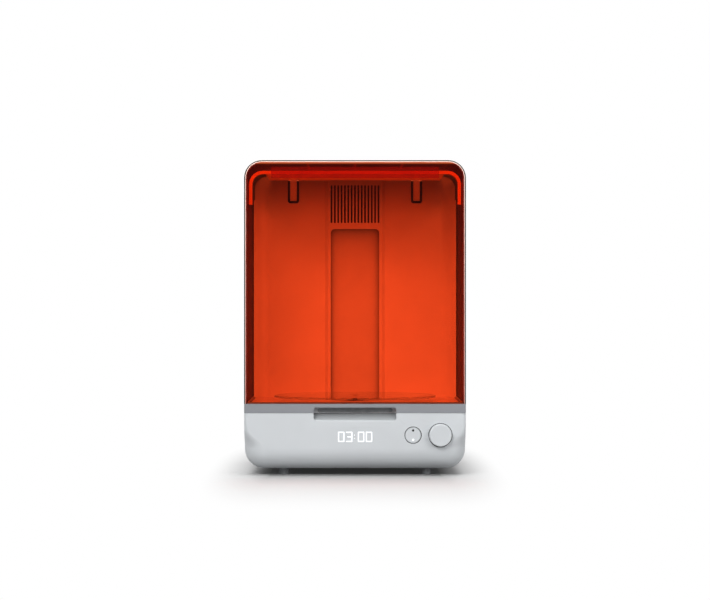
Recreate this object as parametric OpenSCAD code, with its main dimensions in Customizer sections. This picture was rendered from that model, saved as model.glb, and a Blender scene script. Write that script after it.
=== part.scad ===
/* [Body] */
// Width over the hood and the base
body_w = 272; // [256:1:290]
// Depth of the base, without the dial
body_d = 270; // [262:1:290]
// Height from the table to the top of the hood
body_h = 387; // [370:1:410]
// Height of the base pan without its feet
base_h = 68.8; // [64:0.2:76]
// Wall thickness of the base pan and of the rear housing
shell_wall = 3; // [2.4:0.1:3.4]
// Radius of the rounded bottom edges of the base
base_bottom_r = 24; // [16:1:26]
// Radius of the upright edges of the base
base_edge_r = 5; // [3:0.5:8]

/* [Feet] */
// Height of a rubber foot
foot_h = 8; // [6:0.5:10]
// Radius of a foot where it meets the base
foot_r = 7.4; // [6:0.2:8]
// Distance of a foot from the side of the base
foot_side = 48; // [44:1:52]
// Distance of a foot from the front or rear face
foot_inset = 33; // [33:1:38]

/* [Hood] */
// Wall thickness of the amber shell
hood_wall = 3.4; // [2.8:0.1:4]
// Outer radius of the two top corners of the hood
hood_corner_r = 21.5; // [18:0.5:25]
// Radius of the front edge of the hood
hood_edge_r = 2.7; // [1.5:0.1:3.2]
// Height of the grey hood frame
band_h = 11.2; // [10:0.2:13]
// Depth of the front rail of the frame
front_rail_w = 10; // [8.5:0.5:11]
// Width of the side rails of the frame
side_rail_w = 6; // [5.5:0.5:8]
// Height of the lip that locates the shell on its frame
frame_lip_h = 2; // [1:0.5:3]
// Thickness of that lip
frame_lip_t = 1.2; // [0.8:0.1:1.6]
// Thickness of the rib under the rear end of the roof
roof_rib_t = 3.2; // [3:0.1:3.6]
// Length of the rib under the rear end of the roof
roof_rib_l = 5; // [4:0.5:6]

/* [Finger recess] */
// Width of the finger recess
recess_w = 100.3; // [80:0.5:120]
// Height of the recess above the top of the base
recess_up = 6.5; // [5:0.5:7]
// Depth of the scoop below the top of the base
recess_down = 8.6; // [7:0.2:10]
// Corner radius of the recess
recess_r = 3; // [1.5:0.5:3.5]

/* [Hinge] */
// Distance of the hinge axis from the rear face and from the top
hinge_inset = 18; // [17.6:0.1:19]
// Distance of each hinge arm from the side of the hood
arm_side = 55; // [48:1:62]
// Width of a hinge arm
arm_w = 8.4; // [7:0.2:9.4]
// Width of the notch that an arm passes through
notch_w = 13.7; // [13:0.1:15]
// Lowest point of a notch below the hinge axis
notch_drop = 25.5; // [24:0.5:27]
// Corner radius of a notch
notch_r = 2.6; // [1.5:0.1:3]
// Radius of a hinge pin
pin_r = 3; // [2:0.1:3.5]
// Running clearance between a pin or shaft and its bore
run_gap = 0.05; // [0.03:0.01:0.09]

/* [Chamber] */
// Depth of the rear housing behind the liner
housing_d = 52; // [49:0.5:54]
// Thickness of the rear liner
liner_t = 3; // [2:0.2:3]
// Radius of the coved corners of the rear liner
cove_r = 19.5; // [12:0.5:22]
// Thickness of the chamber floor
floor_t = 3; // [2:0.2:4]
// Clearance between the turntable and the walls of the chamber
turntable_gap = 2.8; // [2.3:0.1:12]
// Thickness of the turntable
turntable_t = 2.8; // [2:0.1:4]
// Height of the turntable above the chamber floor
turntable_lift = 4.2; // [3.5:0.1:6]

/* [Duct cover] */
// Width of the duct cover on the liner
duct_w = 78.6; // [74:0.2:84]
// Height of the duct cover in front of the liner
duct_proud = 4; // [3:0.2:4.5]
// Number of slots in the grille
slot_count = 15; // [9:2:17]
// Width of one slot
slot_w = 2.3; // [1.6:0.1:2.6]
// Distance from slot to slot
slot_pitch = 4.41; // [4:0.01:4.41]
// Height of the slots
slot_h = 49.9; // [40:0.1:52]
// Distance from the middle of the grille up to the canopy
grille_drop = 31.2; // [30:0.1:34]
// Width of the recess under the grille
pan_w = 63.8; // [56:0.2:66]
// Distance from the grille down to the recess
pan_gap = 7.7; // [4.5:0.1:30]
// Corner radius of the recess
pan_r = 5.4; // [3:0.2:8]

/* [Lamp canopy] */
// Thickness of the canopy
canopy_t = 3.9; // [3:0.1:4]
// Distance of the canopy behind the front face
canopy_setback = 52; // [48:1:60]
// Depth of the two legs of the canopy
canopy_leg_d = 12; // [8:1:30]
// Length of the two legs below the top of the canopy
canopy_leg_h = 42; // [34:1:60]
// Width of the lamp diffuser
diffuser_w = 209; // [180:1:212]
// Height of the lamp diffuser
diffuser_h = 13.7; // [10:0.1:14]
// Depth of the lamp diffuser
diffuser_d = 6; // [4:0.5:8]

/* [Controls] */
// Radius of the dial
dial_r = 14; // [12:0.2:15]
// Distance that the dial stands out of the front face
dial_proud = 8; // [6:0.5:10]
// Distance of the dial from the side of the base
dial_side = 31.3; // [30:0.1:36]
// Height of the dial, button and display above the bottom of the base
control_z = 42; // [38:0.2:44]
// Travel of the dial when it is pressed
dial_travel = 0.5; // [0.3:0.1:0.5]
// Radius of the mode button
button_r = 9.6; // [8:0.1:10.4]
// Distance of the mode button from the dial
button_pitch = 33.5; // [31:0.1:37]
// Gap round the mode button
button_gap = 0.35; // [0.2:0.05:0.6]
// Radius of the two spots in the button
spot_r = 1.4; // [1:0.1:1.8]
// Distance of a spot from the centre of the button
spot_offset = 5.7; // [4.5:0.1:6.5]
// Width of the display module
display_w = 56; // [46:1:60]
// Height of the display module
display_h = 20; // [16:0.5:24]

/* [Drives and power] */
// Radius of the turntable motor
motor_r = 25; // [20:1:30]
// Radius of the turntable's drive shaft
drive_r = 4; // [3:0.2:5]
// Width of the circulation fan
fan_w = 50; // [40:1:54]
// Depth of both fans
fan_d = 15; // [12:1:20]
// Number of blades on each fan rotor
blade_count = 7; // [5:1:9]
// Width of the cooling fan in the base
cooler_w = 40; // [30:1:42]
// Width of the opening of the mains inlet
inlet_w = 27; // [25:0.5:28]
// Height of the opening of the mains inlet
inlet_h = 20; // [19:0.5:22]

/* [Hidden] */
$fn = 64;
fit = 0.3;
gap = 0.4;
blend_h = 16;

front_y = -(body_d + dial_proud) / 2 + dial_proud;
rear_y = front_y + body_d;
half_w = body_w / 2;
base_z = foot_h;
base_top = base_z + base_h;
band_z = base_top + fit;
band_top = band_z + band_h;
floor_top = band_top - fit;
inner_y = rear_y - shell_wall;

arm_x = half_w - arm_side;
hinge_y = rear_y - hinge_inset;
hinge_z = body_h - hinge_inset;
hood_in_x = half_w - hood_wall;
roof_z = body_h - hood_wall;
spine_y = rear_y - housing_d;
liner_y = spine_y - liner_t;
hood_end_y = spine_y - gap;
spine_top = hinge_z - 4.4;
hood_step_z = spine_top + gap;
barrel_r = hinge_inset - hood_wall - roof_rib_t - gap;
crown_inset = hood_wall + roof_rib_t + gap;
crown_top = hinge_z + barrel_r;
crown_r = hood_corner_r - crown_inset;

deck_x = half_w - side_rail_w - gap;
deck_y = front_y + front_rail_w + gap;
deck_rim_z = floor_top - floor_t;

table_y = (front_y + hood_wall + liner_y) / 2;
turntable_r = min(liner_y - front_y - hood_wall, 2 * deck_x) / 2 - turntable_gap;
table_z = floor_top + turntable_lift;

liner_x = hood_in_x - gap;
liner_top = crown_top;
cove_y = liner_y - cove_r;
seal_x = half_w - 3;
duct_y = liner_y - duct_proud;
duct_t = 2.5;
pan_z = floor_top + 2.5;
pan_y = liner_y + 3.5;
canopy_y = front_y + canopy_setback;
canopy_top = roof_z - 6.8;
canopy_z = canopy_top - canopy_t;
grille_z = canopy_z - grille_drop;
pan_top = grille_z - slot_h / 2 - pan_gap;
light_w = 56;
light_x = duct_w / 2 + 12.7 + light_w / 2;
light_z = [floor_top + 24, canopy_z - 49];
canopy_r = hood_corner_r - hood_wall - 1;

control_h = base_z + control_z;
dial_x = half_w - dial_side;
button_x = dial_x - button_pitch;
wall_in_y = front_y + shell_wall;
skin_t = 0.8;
scoop_r = recess_down + 2;
scoop_z = base_top + 2;
lip_ease = 0.8;
stud_r = 2.5;
board_y = wall_in_y + 10;
board_t = 1.6;
case_y = wall_in_y + 3;
switch_h = 3.4;
button_travel = 0.6;

foot_x = half_w - foot_side;
foot_rear_y = rear_y - foot_inset;
foot_front_y = front_y + foot_inset;
cover_x = foot_x - foot_r - 3;
cover_t = 2.6;
board_y0 = foot_front_y + 14;
supply_y = [foot_rear_y - 84, foot_rear_y - 12];
seat_w = 9;
seat_wall = 3;
boss_h = 14;
post_x = cover_x - 8;
post_y = [foot_front_y + seat_w, foot_rear_y - seat_w];
magnet_x = half_w - 24;
magnet_w = 10;
magnet_y = front_y + 4;
magnet_d = 4;
head_t = 1.6;
bracket_screw_z = [hinge_z - 34, hinge_z - 20];
cheek_x = arm_w / 2 + 1 + 1.5;
shaft_r = 3;
dial_seat = 0.6;
pin_places = [[-7, -2], [7, -2], [0, 2]];
post_r = 4;
screw_r = 1.5;
head_r = 2.8;

port_z = base_z + 46;
port_depth = 3;
inlet_x = 56 - half_w;
rocker_x = inlet_x + 38;
rocker_h = 6.9;
cooler_x = half_w - 74;
cooler_z = base_top - shell_wall - cooler_w / 2 - 0.8;

// A block between two corners
module block(x0, x1, y0, y1, z0, z1) {
    translate([x0, y0, z0]) cube([x1 - x0, y1 - y0, z1 - z0]);
}

// A round bar along X, Y or Z
module bar_x(r, x0, x1, y, z) {
    translate([x0, y, z]) rotate([0, 90, 0]) cylinder(r = r, h = x1 - x0);
}
module bar_y(r, y0, y1, x, z) {
    translate([x, y0, z]) rotate([-90, 0, 0]) cylinder(r = r, h = y1 - y0);
}
module bar_z(r, z0, z1, x, y) {
    translate([x, y, z0]) cylinder(r = r, h = z1 - z0);
}

// A front view (x, z) drawn flat and stretched from y0 to y1
module from_front(y0, y1) {
    translate([0, y1, 0]) rotate([90, 0, 0]) linear_extrude(y1 - y0) children();
}

// A side view (y, z) drawn flat and stretched from x0 to x1
module from_side(x0, x1) {
    translate([x0, 0, 0]) rotate([90, 0, 90]) linear_extrude(x1 - x0) children();
}

module rect(x0, x1, y0, y1) {
    translate([x0, y0]) square([x1 - x0, y1 - y0]);
}

module round_rect(x0, x1, y0, y1, r) {
    rect(x0 + r, x1 - r, y0, y1);
    rect(x0, x1, y0 + r, y1 - r);
    for (x = [x0 + r, x1 - r], y = [y0 + r, y1 - r]) translate([x, y]) circle(r);
}

// Front view of the arch that hood, housing and canopy share
module arch(x, z0, z1, r) {
    rect(-x, x, z0, z1 - r);
    rect(r - x, x - r, z1 - r - 0.01, z1);
    for (s = [-1, 1]) translate([s * (x - r), z1 - r]) circle(r);
}

// The arch with its front edge rounded
module soft_arch(x, z0, z1, r, y0, y1, e) {
    from_front(y0 + e, y1) arch(x, z0, z1, r);
    from_front(y0, y1) arch(x - e, z0, z1 - e, r - e);
    for (s = [-1, 1]) bar_z(e, z0, z1 - r, s * (x - e), y0 + e);
    bar_x(e, r - x, x - r, y0 + e, z1 - e);
    for (s = [0, 1]) mirror([s, 0, 0]) translate([x - r, y0 + e, z1 - r]) rotate([90, 0, 0])
        rotate_extrude(angle = 90) translate([r - e, 0]) circle(e);
}

// Plan of a ring or block whose two front corners are rounded
module front_round(x, y0, y1, r) {
    rect(-x, x, y0 + r, y1);
    rect(r - x, x - r, y0, y0 + 2 * r);
    for (s = [-1, 1]) translate([s * (x - r), y0 + r]) circle(r);
}

// Front view of the finger recess, grown by g
module recess_view(g) {
    round_rect(-recess_w / 2 - g, recess_w / 2 + g, base_top - recess_down - g,
               base_top + recess_up + g, recess_r + g);
}

// Inset of the soft lower edge at height h above the bottom, for an edge of radius r
function edge_inset(h, r) = h >= r ? 0 : r - sqrt(r * r - (r - h) * (r - h));

// Plan radius of a corner: round like a ball below, blending into the sharper upright edge
function plan_r(h, r, e) = h <= r ? r - edge_inset(h, r)
    : e + (r - e) * (1 + cos(180 * min(1, (h - r) / blend_h))) / 2;

// One level of the pan: four corner arcs of n steps
function pan_ring(h, r, e, x, y0, y1, n) = let (s = edge_inset(h, r), c = max(0.05, plan_r(h, r, e)))
    [for (q = [0 : 3], i = [0 : n]) let (a = 90 * q + 90 * i / n,
        cx = (q == 0 || q == 3) ? x - s - c : s + c - x,
        cy = q < 2 ? y1 - s - c : y0 + s + c) [cx + c * cos(a), cy + c * sin(a)]];

// Base pan: a loft through levels, from the soft lower edge to the straight walls
module base_form(n) {
    r = base_bottom_r;
    e = base_edge_r;
    levels = concat([for (i = [0 : n]) r * (1 - cos(90 * i / n))],
                    [for (i = [1 : n - 2]) r + blend_h * i / (n - 2)], [base_h]);
    rings = [for (h = levels)
        [for (p = pan_ring(h, r, e, half_w, front_y, rear_y, n)) [p[0], p[1], base_z + h]]];
    m = 4 * (n + 1);
    last = len(levels) - 1;
    polyhedron(points = [for (ring = rings, p = ring) p], faces = concat(
        [[for (i = [0 : m - 1]) i]],
        [for (k = [0 : last - 1], i = [0 : m - 1]) [k * m + i, (k + 1) * m + i, k * m + (i + 1) % m]],
        [for (k = [0 : last - 1], i = [0 : m - 1])
            [k * m + (i + 1) % m, (k + 1) * m + i, (k + 1) * m + (i + 1) % m]],
        [[for (i = [m - 1 : -1 : 0]) last * m + i]]));
}

// Hollow of the pan: a block with ball corners below
module base_hollow() {
    r = base_bottom_r - shell_wall;
    x = half_w - shell_wall - r;
    y = [front_y + shell_wall + r, rear_y - shell_wall - r];
    z = base_z + shell_wall + r;
    from_top(z, base_top - shell_wall) round_rect(-x - r, x + r, y[0] - r, y[1] + r, r);
    block(-x, x, y[0], y[1], z - r, z + 1);
    for (c = y) bar_x(r, -x, x, c, z);
    for (s = [-1, 1]) {
        bar_y(r, y[0], y[1], s * x, z);
        for (c = y) translate([s * x, c, z]) sphere(r);
    }
}

// Frame that the bottom cover sits in, with a screw boss at each corner
module cover_seat() {
    difference() {
        block(-cover_x - seat_wall, cover_x + seat_wall, foot_front_y - seat_wall, foot_rear_y + seat_wall,
              base_z + cover_t, base_z + shell_wall + 4);
        block(seat_w - cover_x, cover_x - seat_w, foot_front_y + seat_w, foot_rear_y - seat_w, base_z,
              base_z + shell_wall + 5);
    }
    for (x = [-post_x, post_x], y = post_y) bar_z(post_r, base_z + cover_t, base_z + cover_t + boss_h, x, y);
}

module vent_slots(x0, count, pitch, w, z0, z1, y0, y1) {
    for (i = [0 : count - 1])
        from_front(y0, y1) round_rect(x0 + i * pitch - w / 2, x0 + i * pitch + w / 2, z0, z1, w / 2 - 0.01);
}

module base_shell() {
    slot_gap = 5;
    color("gainsboro") difference() {
        union() {
            difference() {
                base_form(8);
                base_hollow();
            }
            cover_seat();
            intersection() {
                bar_x(scoop_r + shell_wall, -recess_w / 2 - shell_wall, recess_w / 2 + shell_wall,
                      front_y, scoop_z);
                block(-recess_w, recess_w, front_y + 1, deck_y + shell_wall, base_z, base_top - 0.1);
            }
            difference() {
                block(-deck_x, deck_x, deck_y, liner_y, base_top - 1, deck_rim_z);
                block(shell_wall - deck_x, deck_x - shell_wall, deck_y + shell_wall, liner_y - shell_wall,
                      base_top - 2, deck_rim_z + 1);
            }
            block(inlet_x - inlet_w / 2 - 6, rocker_x + 16, inner_y - port_depth, inner_y + 0.5,
                  port_z - inlet_h / 2 - 6, port_z + inlet_h / 2 + 6);
        }
        block(shell_wall - deck_x, deck_x - shell_wall, deck_y + shell_wall, liner_y - shell_wall,
              base_top - shell_wall - 1, base_top + 1);
        block(-pan_w / 2, pan_w / 2, spine_y + 8, inner_y - 8, base_top - shell_wall - 1, base_top + 1);
        block(-cover_x - fit, cover_x + fit, foot_front_y - fit, foot_rear_y + fit, base_z - 1,
              base_z + cover_t);
        block(seat_w - cover_x, cover_x - seat_w, foot_front_y + seat_w, foot_rear_y - seat_w, base_z,
              base_z + shell_wall + 1);
        intersection() {
            from_front(front_y - 1, deck_y - gap) recess_view(0);
            bar_x(scoop_r, -recess_w, recess_w, front_y, scoop_z);
        }
        intersection() {
            from_front(front_y - 1, front_y + lip_ease) recess_view(lip_ease);
            bar_x(scoop_r + lip_ease, -recess_w, recess_w, front_y, scoop_z);
        }
        block(-display_w / 2, display_w / 2, front_y + skin_t, wall_in_y + 1, control_h - display_h / 2,
              control_h + display_h / 2);
        bar_y(button_r + button_gap, front_y - 1, wall_in_y + 1, button_x, control_h);
        bar_y(dial_r + 0.8, front_y - 1, front_y + dial_seat + 0.1 + dial_travel, dial_x, control_h);
        bar_y(shaft_r + 0.6, front_y - 1, wall_in_y + 1, dial_x, control_h);
        for (x = [-foot_x, foot_x], y = [foot_front_y, foot_rear_y])
            bar_z(stud_r + 0.1, base_z - 1, base_z + shell_wall + 1, x, y);
        for (x = [-post_x, post_x], y = post_y) bar_z(screw_r + run_gap, base_z, base_z + boss_h, x, y);
        block(inlet_x - inlet_w / 2 - 4, rocker_x + 13, rear_y - port_depth, rear_y + 1,
              port_z - inlet_h / 2 - 4, port_z + inlet_h / 2 + 4);
        block(inlet_x - inlet_w / 2, inlet_x + inlet_w / 2, inner_y - port_depth - 1, rear_y,
              port_z - inlet_h / 2, port_z + inlet_h / 2);
        block(rocker_x - 6.5, rocker_x + 6.5, inner_y - port_depth - 1, rear_y, port_z - 9.5, port_z + 9.5);
        vent_slots(cooler_x - 3.5 * slot_gap, 8, slot_gap, 2.6, cooler_z - cooler_w / 2 + 4,
                   cooler_z + cooler_w / 2 - 4, inner_y - 1, rear_y + 1);
    }
}

module bottom_cover() {
    color("dimgray") difference() {
        union() {
            block(-cover_x, cover_x, foot_front_y, foot_rear_y, base_z, base_z + cover_t);
            for (x = [-cover_x / 2, 0, cover_x / 2])
                block(x - 1, x + 1, foot_front_y + 16, foot_rear_y - 16, base_z + cover_t,
                      base_z + cover_t + 2);
        }
        for (x = [-post_x, post_x], y = post_y) {
            bar_z(screw_r + 0.2, base_z - 1, base_z + cover_t + 1, x, y);
            bar_z(head_r + 0.2, base_z - 1, base_z + head_t, x, y);
        }
        for (i = [-8 : 8]) block(i * 4 - 1, i * 4 + 1, supply_y[0] + 8, supply_y[0] + 48, base_z - 1,
                                      base_z + cover_t + 3);
    }
}

module screw(head, length) {
    cylinder(r = head_r, h = head);
    cylinder(r = screw_r, h = length);
}

module bottom_screws() {
    color("silver") for (x = [-post_x, post_x], y = post_y)
        translate([x, y, base_z + 0.1]) difference() {
            screw(head_t - 0.1, 12);
            translate([0, 0, -0.1]) cylinder(r = 1.2, h = 1, $fn = 6);
        }
}

module feet() {
    color("dimgray") for (x = [-foot_x, foot_x], y = [foot_front_y, foot_rear_y]) translate([x, y, 0])
        rotate_extrude() polygon([[0, 0], [foot_r - 1.6, 0], [foot_r - 1, 0.6], [foot_r, foot_h],
                                  [stud_r, foot_h], [stud_r, foot_h + shell_wall],
                                  [stud_r + 1, foot_h + shell_wall],
                                  [stud_r - 0.3, foot_h + shell_wall + 3], [0, foot_h + shell_wall + 3]]);
}

module chamber_floor() {
    color("white") difference() {
        union() {
            block(-deck_x, deck_x, deck_y, cove_y - 1, deck_rim_z, floor_top);
            from_top(deck_rim_z, floor_top) liner_plan();
        }
        bar_z(drive_r + 4, deck_rim_z - 1, floor_top + 1, 0, table_y);
        block(-pan_w / 2 - 3, pan_w / 2 + 3, liner_y - 0.1, spine_y + 1, deck_rim_z - 1, floor_top + 1);
    }
}

// A plan (x, y) stretched from z0 to z1
module from_top(z0, z1) {
    translate([0, 0, z0]) linear_extrude(z1 - z0) children();
}

// Plan between the coved corners of the rear liner, up to its front face
module liner_plan() {
    rect(cove_r - liner_x, liner_x - cove_r, cove_y - 1, liner_y);
    rect(-deck_x, deck_x, cove_y - 1, cove_y);
    intersection() {
        for (s = [-1, 1]) translate([s * (liner_x - cove_r), cove_y]) circle(cove_r);
        rect(-liner_x, liner_x, cove_y, liner_y);
    }
}

module base_magnets() {
    color("silver") for (x = [-magnet_x, magnet_x])
        block(x - magnet_w / 2, x + magnet_w / 2, magnet_y, magnet_y + magnet_d, base_top - shell_wall - 3,
              base_top - shell_wall);
}

module hood_sensor() {
    x1 = deck_x - shell_wall - 5.6;
    y0 = deck_y + 60.6;
    color("darkgreen") union() {
        block(x1 - 18, x1, y0, y0 + 14, deck_rim_z - board_t, deck_rim_z);
        block(x1 - 12, x1 - 8, y0 + 4, y0 + 8, deck_rim_z - board_t - 2, deck_rim_z - board_t + 0.5);
    }
}

// Barrel round the hinge axis: turned so that the rounded ends of the roof pass over it
module hinge_barrel() {
    translate([0, hinge_y, hinge_z]) rotate([0, 90, 0]) rotate_extrude() intersection() {
        union() {
            rect(0, barrel_r, crown_inset + crown_r - half_w, half_w - crown_inset - crown_r);
            for (s = [-1, 1]) translate([barrel_r - crown_r, s * (half_w - crown_inset - crown_r)])
                circle(crown_r);
        }
        rect(0, barrel_r + 1, -half_w, half_w);
    }
}

module spine_shell() {
    rear_r = 7;
    color("darkslategray") difference() {
        union() {
            intersection() {
                from_side(-half_w, half_w) rect(spine_y, rear_y, base_top, spine_top);
                from_top(base_top, spine_top) rear_round(half_w, spine_y, rear_y, rear_r);
            }
            from_front(spine_y, hinge_y) arch(half_w - crown_inset, spine_top - 20, crown_top, crown_r);
            hinge_barrel();
        }
        from_top(base_top + shell_wall, spine_top - shell_wall)
            rear_round(half_w - shell_wall, spine_y - 1, inner_y, rear_r - shell_wall);
        intersection() {
            from_side(-half_w, half_w) {
                rect(spine_y - 1, hinge_y - shell_wall, spine_top - 12, crown_top - shell_wall);
                rect(spine_y - 1, inner_y - 3, spine_top - 12, spine_top - shell_wall);
            }
            from_front(spine_y - 2, rear_y)
                arch(half_w - crown_inset - shell_wall, spine_top - 20, crown_top - shell_wall,
                     crown_r - shell_wall);
        }
        bar_x(barrel_r - shell_wall, crown_inset + crown_r - half_w, half_w - crown_inset - crown_r,
              hinge_y, hinge_z);
        for (x = [-arm_x, arm_x]) from_side(x - notch_w / 2, x + notch_w / 2) {
            rect(spine_y - 1, hinge_y, hinge_z - notch_drop, crown_top + 1);
            translate([hinge_y, hinge_z]) circle(barrel_r + 1.2);
        }
        block(-pan_w / 2, pan_w / 2, spine_y + 8, inner_y - 8, base_top - 1, base_top + shell_wall + 1);
        for (x = [-arm_x, arm_x], z = bracket_screw_z) {
            bar_y(screw_r, inner_y - 1, rear_y + 1, x, z);
            bar_y(head_r + 0.2, rear_y - head_t, rear_y + 1, x, z);
        }
        for (s = [-1, 1])
            vent_slots(s * 70 - 5 * 6, 11, 6, 2.6, base_top + 30, base_top + 66, inner_y - 1, rear_y + 1);
    }
}

// Plan with the two rear corners rounded
module rear_round(x, y0, y1, r) {
    rect(-x, x, y0, y1 - r);
    rect(r - x, x - r, y0, y1);
    for (s = [-1, 1]) translate([s * (x - r), y1 - r]) circle(r);
}

module notch_view() {
    for (x = [-arm_x, arm_x])
        round_rect(x - notch_w / 2, x + notch_w / 2, hinge_z - notch_drop, liner_top + notch_w, notch_r);
}

module rear_liner() {
    color("white") difference() {
        intersection() {
            from_top(floor_top, liner_top) {
                rect(cove_r - liner_x, liner_x - cove_r, liner_y, spine_y);
                for (s = [0, 1]) mirror([s, 0, 0]) intersection() {
                    difference() {
                        translate([liner_x - cove_r, cove_y]) circle(cove_r + liner_t);
                        translate([liner_x - cove_r, cove_y]) circle(cove_r);
                    }
                    rect(liner_x - cove_r, liner_x + liner_t + 1, cove_y, spine_y);
                }
            }
            from_front(cove_y - 1, spine_y + 1)
                arch(liner_x, floor_top, liner_top, hood_corner_r - hood_wall - gap);
        }
        from_front(liner_y - 1, spine_y + 1) {
            notch_view();
            rect(-duct_w / 2 + 3, duct_w / 2 - 3, floor_top - 1, canopy_z - 4);
        }
    }
}

module duct_cover() {
    slot_x0 = -(slot_count - 1) / 2 * slot_pitch;
    top = canopy_z;
    color("white") difference() {
        union() {
            from_top(floor_top, top) polygon([[-duct_w / 2, liner_y], [-duct_w / 2 + duct_proud, duct_y],
                [duct_w / 2 - duct_proud, duct_y], [duct_w / 2, liner_y]]);
            from_front(duct_y, pan_y + 2)
                round_rect(-pan_w / 2 - 2, pan_w / 2 + 2, pan_z - 2, pan_top + 2, pan_r + 2);
        }
        from_front(duct_y - 1, pan_y) round_rect(-pan_w / 2, pan_w / 2, pan_z, pan_top, pan_r);
        block(-fan_w / 2 - fit, fan_w / 2 + fit, duct_y + duct_t, liner_y + 1, grille_z - slot_h / 2 - 2,
              top - 3);
        block(-pan_w / 2 + 1, pan_w / 2 - 1, duct_y + duct_t, liner_y + 1, grille_z - slot_h / 2 - 2,
              grille_z + slot_h / 2);
        vent_slots(slot_x0, slot_count, slot_pitch, slot_w, grille_z - slot_h / 2, grille_z + slot_h / 2,
                   duct_y - 1, liner_y + 1);
    }
}

module lamp_canopy() {
    rib_w = 3;
    color("orange") difference() {
        union() {
            difference() {
                from_front(canopy_y, canopy_y + canopy_leg_d)
                    arch(liner_x, canopy_top - canopy_leg_h, canopy_top, canopy_r);
                from_front(canopy_y - 1, canopy_y + canopy_leg_d + 1)
                    arch(liner_x - canopy_t, canopy_top - canopy_leg_h - 1, canopy_z, canopy_r - canopy_t);
            }
            block(cove_r + 1 - liner_x, liner_x - cove_r - 1, canopy_y, liner_y, canopy_z, canopy_top);
            for (x = [-60, 0, 60])
                block(x - rib_w / 2, x + rib_w / 2, canopy_y + 40, liner_y, canopy_top, liner_top);
        }
        for (x = [-arm_x, arm_x])
            block(x - notch_w / 2 - 1, x + notch_w / 2 + 1, hinge_y - 44, liner_y + 1, canopy_z - 1,
                  canopy_top + 1);
        for (x = [-84 : 24 : 84]) bar_z(4, canopy_z - 1, canopy_top + 1, x, canopy_y + 15);
    }
}

module lamp_diffuser() {
    color("firebrick") from_front(canopy_y - diffuser_d, canopy_y)
        round_rect(-diffuser_w / 2, diffuser_w / 2, canopy_z - 5.3, canopy_z - 5.3 + diffuser_h, 0.6);
}

module canopy_light_board() {
    color("darkgreen") union() {
        block(-96, 96, canopy_y + 6, canopy_y + 24, canopy_top, canopy_top + 1.6);
        for (x = [-84 : 24 : 84])
            block(x - 1.8, x + 1.8, canopy_y + 13.2, canopy_y + 16.8, canopy_top - 1, canopy_top + 0.5);
    }
}

module rear_light_boards() {
    color("darkgreen") for (s = [-1, 1])
        block(s * light_x - light_w / 2, s * light_x + light_w / 2, spine_y, spine_y + board_t,
              light_z[0], light_z[1]);
}

module rear_heat_sinks() {
    fin = 1.6;
    fin_pitch = 5;
    z0 = light_z[0] + 2;
    z1 = light_z[1] - 2;
    y0 = spine_y + board_t;
    color("silver") for (x = [-light_x, light_x]) {
        block(x - light_w / 2 + 2, x + light_w / 2 - 2, y0, y0 + 3, z0, z1);
        for (i = [-5 : 5])
            block(x + i * fin_pitch - fin / 2, x + i * fin_pitch + fin / 2, y0 + 2, y0 + 14.4, z0, z1);
    }
}

module hinge_brackets() {
    cheek_t = 3;
    color("slategray") for (x = [-arm_x, arm_x]) difference() {
        union() {
            for (s = [-1, 1]) from_side(x + s * cheek_x - cheek_t / 2, x + s * cheek_x + cheek_t / 2) {
                translate([hinge_y, hinge_z]) circle(barrel_r - shell_wall - 0.6);
                polygon([[hinge_y - 7, hinge_z], [hinge_y + 3, hinge_z - 6],
                         [hinge_y + 3, spine_top - shell_wall - 1], [inner_y - 1, hinge_z - 14],
                         [inner_y - 1, hinge_z - 40], [inner_y - 4, hinge_z - 40],
                         [hinge_y - 7, hinge_z - 12]]);
            }
            block(x - cheek_x - cheek_t / 2, x + cheek_x + cheek_t / 2, inner_y - 3, inner_y,
                  hinge_z - 40, hinge_z - 14);
        }
        bar_x(pin_r, x - cheek_x - 3, x + cheek_x + 3, hinge_y, hinge_z);
        for (z = bracket_screw_z) bar_y(screw_r, inner_y - 4, inner_y + 1, x, z);
    }
}

module hinge_pins() {
    color("silver") for (x = [-arm_x, arm_x])
        bar_x(pin_r - 0.02, x - cheek_x - 2, x + cheek_x + 2, hinge_y, hinge_z);
}

module friction_washers() {
    color("gray") for (x = [-arm_x, arm_x], s = [-1, 1])
        translate([x + s * (arm_w / 2 + 0.5), 0, 0]) difference() {
            bar_x(6, -0.4, 0.4, hinge_y, hinge_z);
            bar_x(pin_r + 0.1, -1, 1, hinge_y, hinge_z);
        }
}

module hinge_screws() {
    color("silver") for (x = [-arm_x, arm_x], z = bracket_screw_z)
        translate([x, rear_y - 0.1, z]) rotate([90, 0, 0]) difference() {
            screw(head_t - 0.1, shell_wall + 2.6);
            translate([0, 0, -0.1]) cylinder(r = 1.2, h = 1, $fn = 6);
        }
}

module heater() {
    z0 = pan_top - 71;
    color("silver") union() {
        block(-25, 25, pan_y + 2, pan_y + 5, z0, z0 + 50);
        for (i = [-6 : 6]) block(i * 4 - 0.8, i * 4 + 0.8, pan_y + 4, pan_y + 16, z0, z0 + 50);
    }
}

// Fan frame with its hub spider, blowing along Y, front face at y0
module fan_frame(w, y0, x, z) {
    difference() {
        from_front(y0, y0 + fan_d) translate([x, z]) round_rect(-w / 2, w / 2, -w / 2, w / 2, 3);
        bar_y(w / 2 - 2, y0 - 1, y0 + fan_d - 2, x, z);
        difference() {
            bar_y(w / 2 - 2, y0, y0 + fan_d + 1, x, z);
            bar_y(w / 5, y0, y0 + fan_d + 2, x, z);
            for (a = [45, 135]) translate([x, y0, z]) rotate([0, a, 0]) block(-w, w, 0, fan_d + 2, -1.2, 1.2);
        }
    }
    bar_y(1.5, y0 + 4, y0 + fan_d - 1, x, z);
}

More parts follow.
